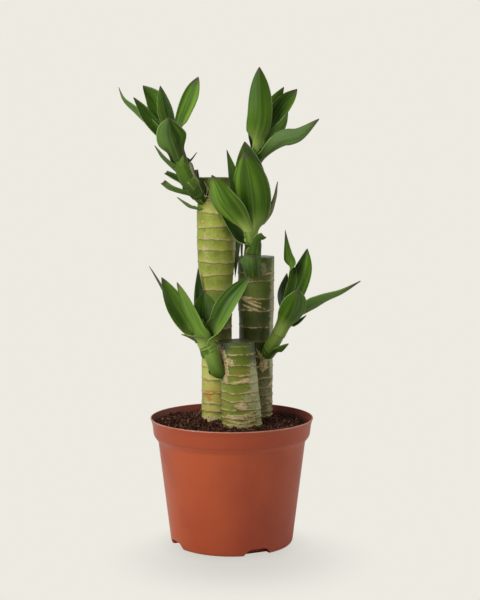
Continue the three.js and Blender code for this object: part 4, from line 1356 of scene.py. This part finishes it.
class PLANT_OT_shreds(bpy.types.Operator):
    """Build the dry, papery strips at the shoots' bases"""

    bl_idname = "plant.shreds"
    bl_label = "Shreds"

    def execute(self, context):
        bm = bmesh.new()
        straw = bm.verts.layers.float.new("straw")
        for points, width, tone in SHREDS:
            line = Line(points)
            before = set(bm.faces)
            made = bmesh.ops.create_grid(bm, x_segments=2, y_segments=14, size=1)["verts"]
            for vert in made:
                across, share = vert.co.x, (vert.co.y + 1) / 2
                heading = line.heading(share)
                side = squared(Vector((1, 0.15, 0.3)), heading)
                lift = heading.cross(side)
                swing = noise.noise(Vector((points[0][0], points[0][2], share * 4))) * 0.8
                half = width / 2 * mix(1, 0.15, share ** 2) * smooth(share * 6 + 0.4)
                aside = side * (across * half + swing * 0.6)
                vert.co = (line.at(share) + aside + lift * (swing - abs(across) * 0.3)) * MM
                vert[straw] = tone
            thicken(bm, before, 0.00015)
        piece_from("cane_shreds", bm, dry_husk(context.scene.cane_settings))
        return {"FINISHED"}


# ---- Stage ----


class PLANT_OT_stage(bpy.types.Operator):
    """Set up the floor, the light and the camera"""

    bl_idname = "plant.stage"
    bl_label = "Stage"

    def execute(self, context):
        stage = context.scene.stage_settings
        flat, reach, top = 1.6, 2.6, 1.3
        profile = [(0, 0), (flat, 0)]
        profile += curve_points(((flat, 0), (flat + reach, top)), [(flat + reach * 0.7, 0)], 24)
        bm = spun(profile, 96)
        mesh = bpy.data.meshes.new("floor")
        bm.to_mesh(mesh)
        bm.free()
        mesh.shade_smooth()
        floor = bpy.data.objects.new("floor", mesh)
        context.scene.collection.objects.link(floor)
        mesh.materials.append(self.floor_skin(stage))
        self.light(context, stage)
        self.camera(context, stage)
        context.scene.view_settings.view_transform = "Standard"
        return {"FINISHED"}

    def floor_skin(self, stage):
        """A matt floor under an even light, with a soft shade at the foot, for the camera alone."""
        material, net, shader = surface("Pale floor", 0.9, 0.0)
        shader.inputs["Base Color"].default_value = (*stage.floor, 1)
        middle, near = (0.006, -0.045, 0), 0.015  # the shade's middle, and how far it is darkest
        away = net.add("VectorMath", {0: net.place(), 1: middle}, operation="DISTANCE").outputs["Value"]
        dim = net.ranged(away, near, stage.shade_reach, stage.shade, interpolation_type="SMOOTHSTEP")
        nook = net.add("AmbientOcclusion", {"Distance": 0.02}, samples=12).outputs["AO"]
        dim = net.times(dim, net.ranged(nook, 0.3, 0.9, 0.9, 1.0))
        lit = net.add("Emission", {"Color": (*stage.backdrop, 1), "Strength": dim})
        seen = net.add("LightPath").outputs["Is Camera Ray"]
        both = net.add("MixShader", {0: seen, 1: shader.outputs[0], 2: lit.outputs[0]})
        net.feed(net.tree.nodes["Material Output"].inputs["Surface"], both.outputs[0])
        return material

    def light(self, context, stage):
        """A room that is darker in front than behind, a soft main light and a weak one from behind."""
        world = bpy.data.worlds.new("Studio")
        context.scene.world = world
        world.use_nodes = True
        net = Net(world.node_tree)
        background = net.tree.nodes["Background"]
        background.inputs["Color"].default_value = (1, 0.985, 0.96, 1)
        heading = net.add("TexCoord").outputs["Generated"]
        back = net.add("SeparateXYZ", {0: heading}).outputs["Y"]
        strength = net.ranged(back, -0.7, 0.5, stage.front_light, stage.back_light)
        net.feed(background.inputs["Strength"], strength)
        for name, place, size, power in (
            ("key", (-1.15, -1.05, 1.0), 1.2, stage.key),
            ("rim", (1.4, 0.35, 0.7), 0.9, stage.key * 0.25),
        ):
            lamp = bpy.data.lights.new(name, "AREA")
            lamp.shape = "DISK"
            lamp.size = size
            lamp.energy = power
            light = bpy.data.objects.new(name, lamp)
            light.location = place
            aim = Vector((0, 0, 0.15)) - Vector(place)
            light.rotation_euler = aim.to_track_quat("-Z", "Y").to_euler()
            context.scene.collection.objects.link(light)

    def camera(self, context, stage):
        view = bpy.data.cameras.new("camera")
        view.sensor_width = 36
        view.lens = stage.lens
        camera = bpy.data.objects.new("camera", view)
        camera.location = (stage.camera_shift, -stage.distance, stage.camera_height)
        camera.rotation_euler = (math.pi / 2 - stage.pitch, 0, 0)
        context.scene.collection.objects.link(camera)
        context.scene.camera = camera


class PLANT_PT_panel(bpy.types.Panel):
    """Lists the steps that build the plant"""

    bl_label = "Lucky bamboo"
    bl_space_type = "VIEW_3D"
    bl_region_type = "UI"
    bl_category = "Lucky bamboo"

    def draw(self, context):
        for step in STEPS:
            self.layout.operator(step.bl_idname)
        for name in SETTINGS:
            box = self.layout.box()
            settings = getattr(context.scene, name)
            for label in settings.bl_rna.properties.keys():
                if label not in ("rna_type", "name"):
                    box.prop(settings, label)


STEPS = (PLANT_OT_pot, PLANT_OT_soil, PLANT_OT_canes, PLANT_OT_shoots, PLANT_OT_shreds, PLANT_OT_stage)
SETTINGS = {
    "pot_settings": PotSettings,
    "soil_settings": SoilSettings,
    "cane_settings": CaneSettings,
    "leaf_settings": LeafSettings,
    "stage_settings": StageSettings,
}


def register():
    for part in (*SETTINGS.values(), *STEPS, PLANT_PT_panel):
        bpy.utils.register_class(part)
    for name, settings in SETTINGS.items():
        setattr(bpy.types.Scene, name, PointerProperty(type=settings))


def unregister():
    for name in SETTINGS:
        delattr(bpy.types.Scene, name)
    for part in reversed((*SETTINGS.values(), *STEPS, PLANT_PT_panel)):
        bpy.utils.unregister_class(part)


def main():
    register()
    bpy.ops.plant.pot()
    bpy.ops.plant.soil()
    bpy.ops.plant.canes()
    bpy.ops.plant.shoots()
    bpy.ops.plant.shreds()
    bpy.ops.plant.stage()


if __name__ == "__main__":
    main()
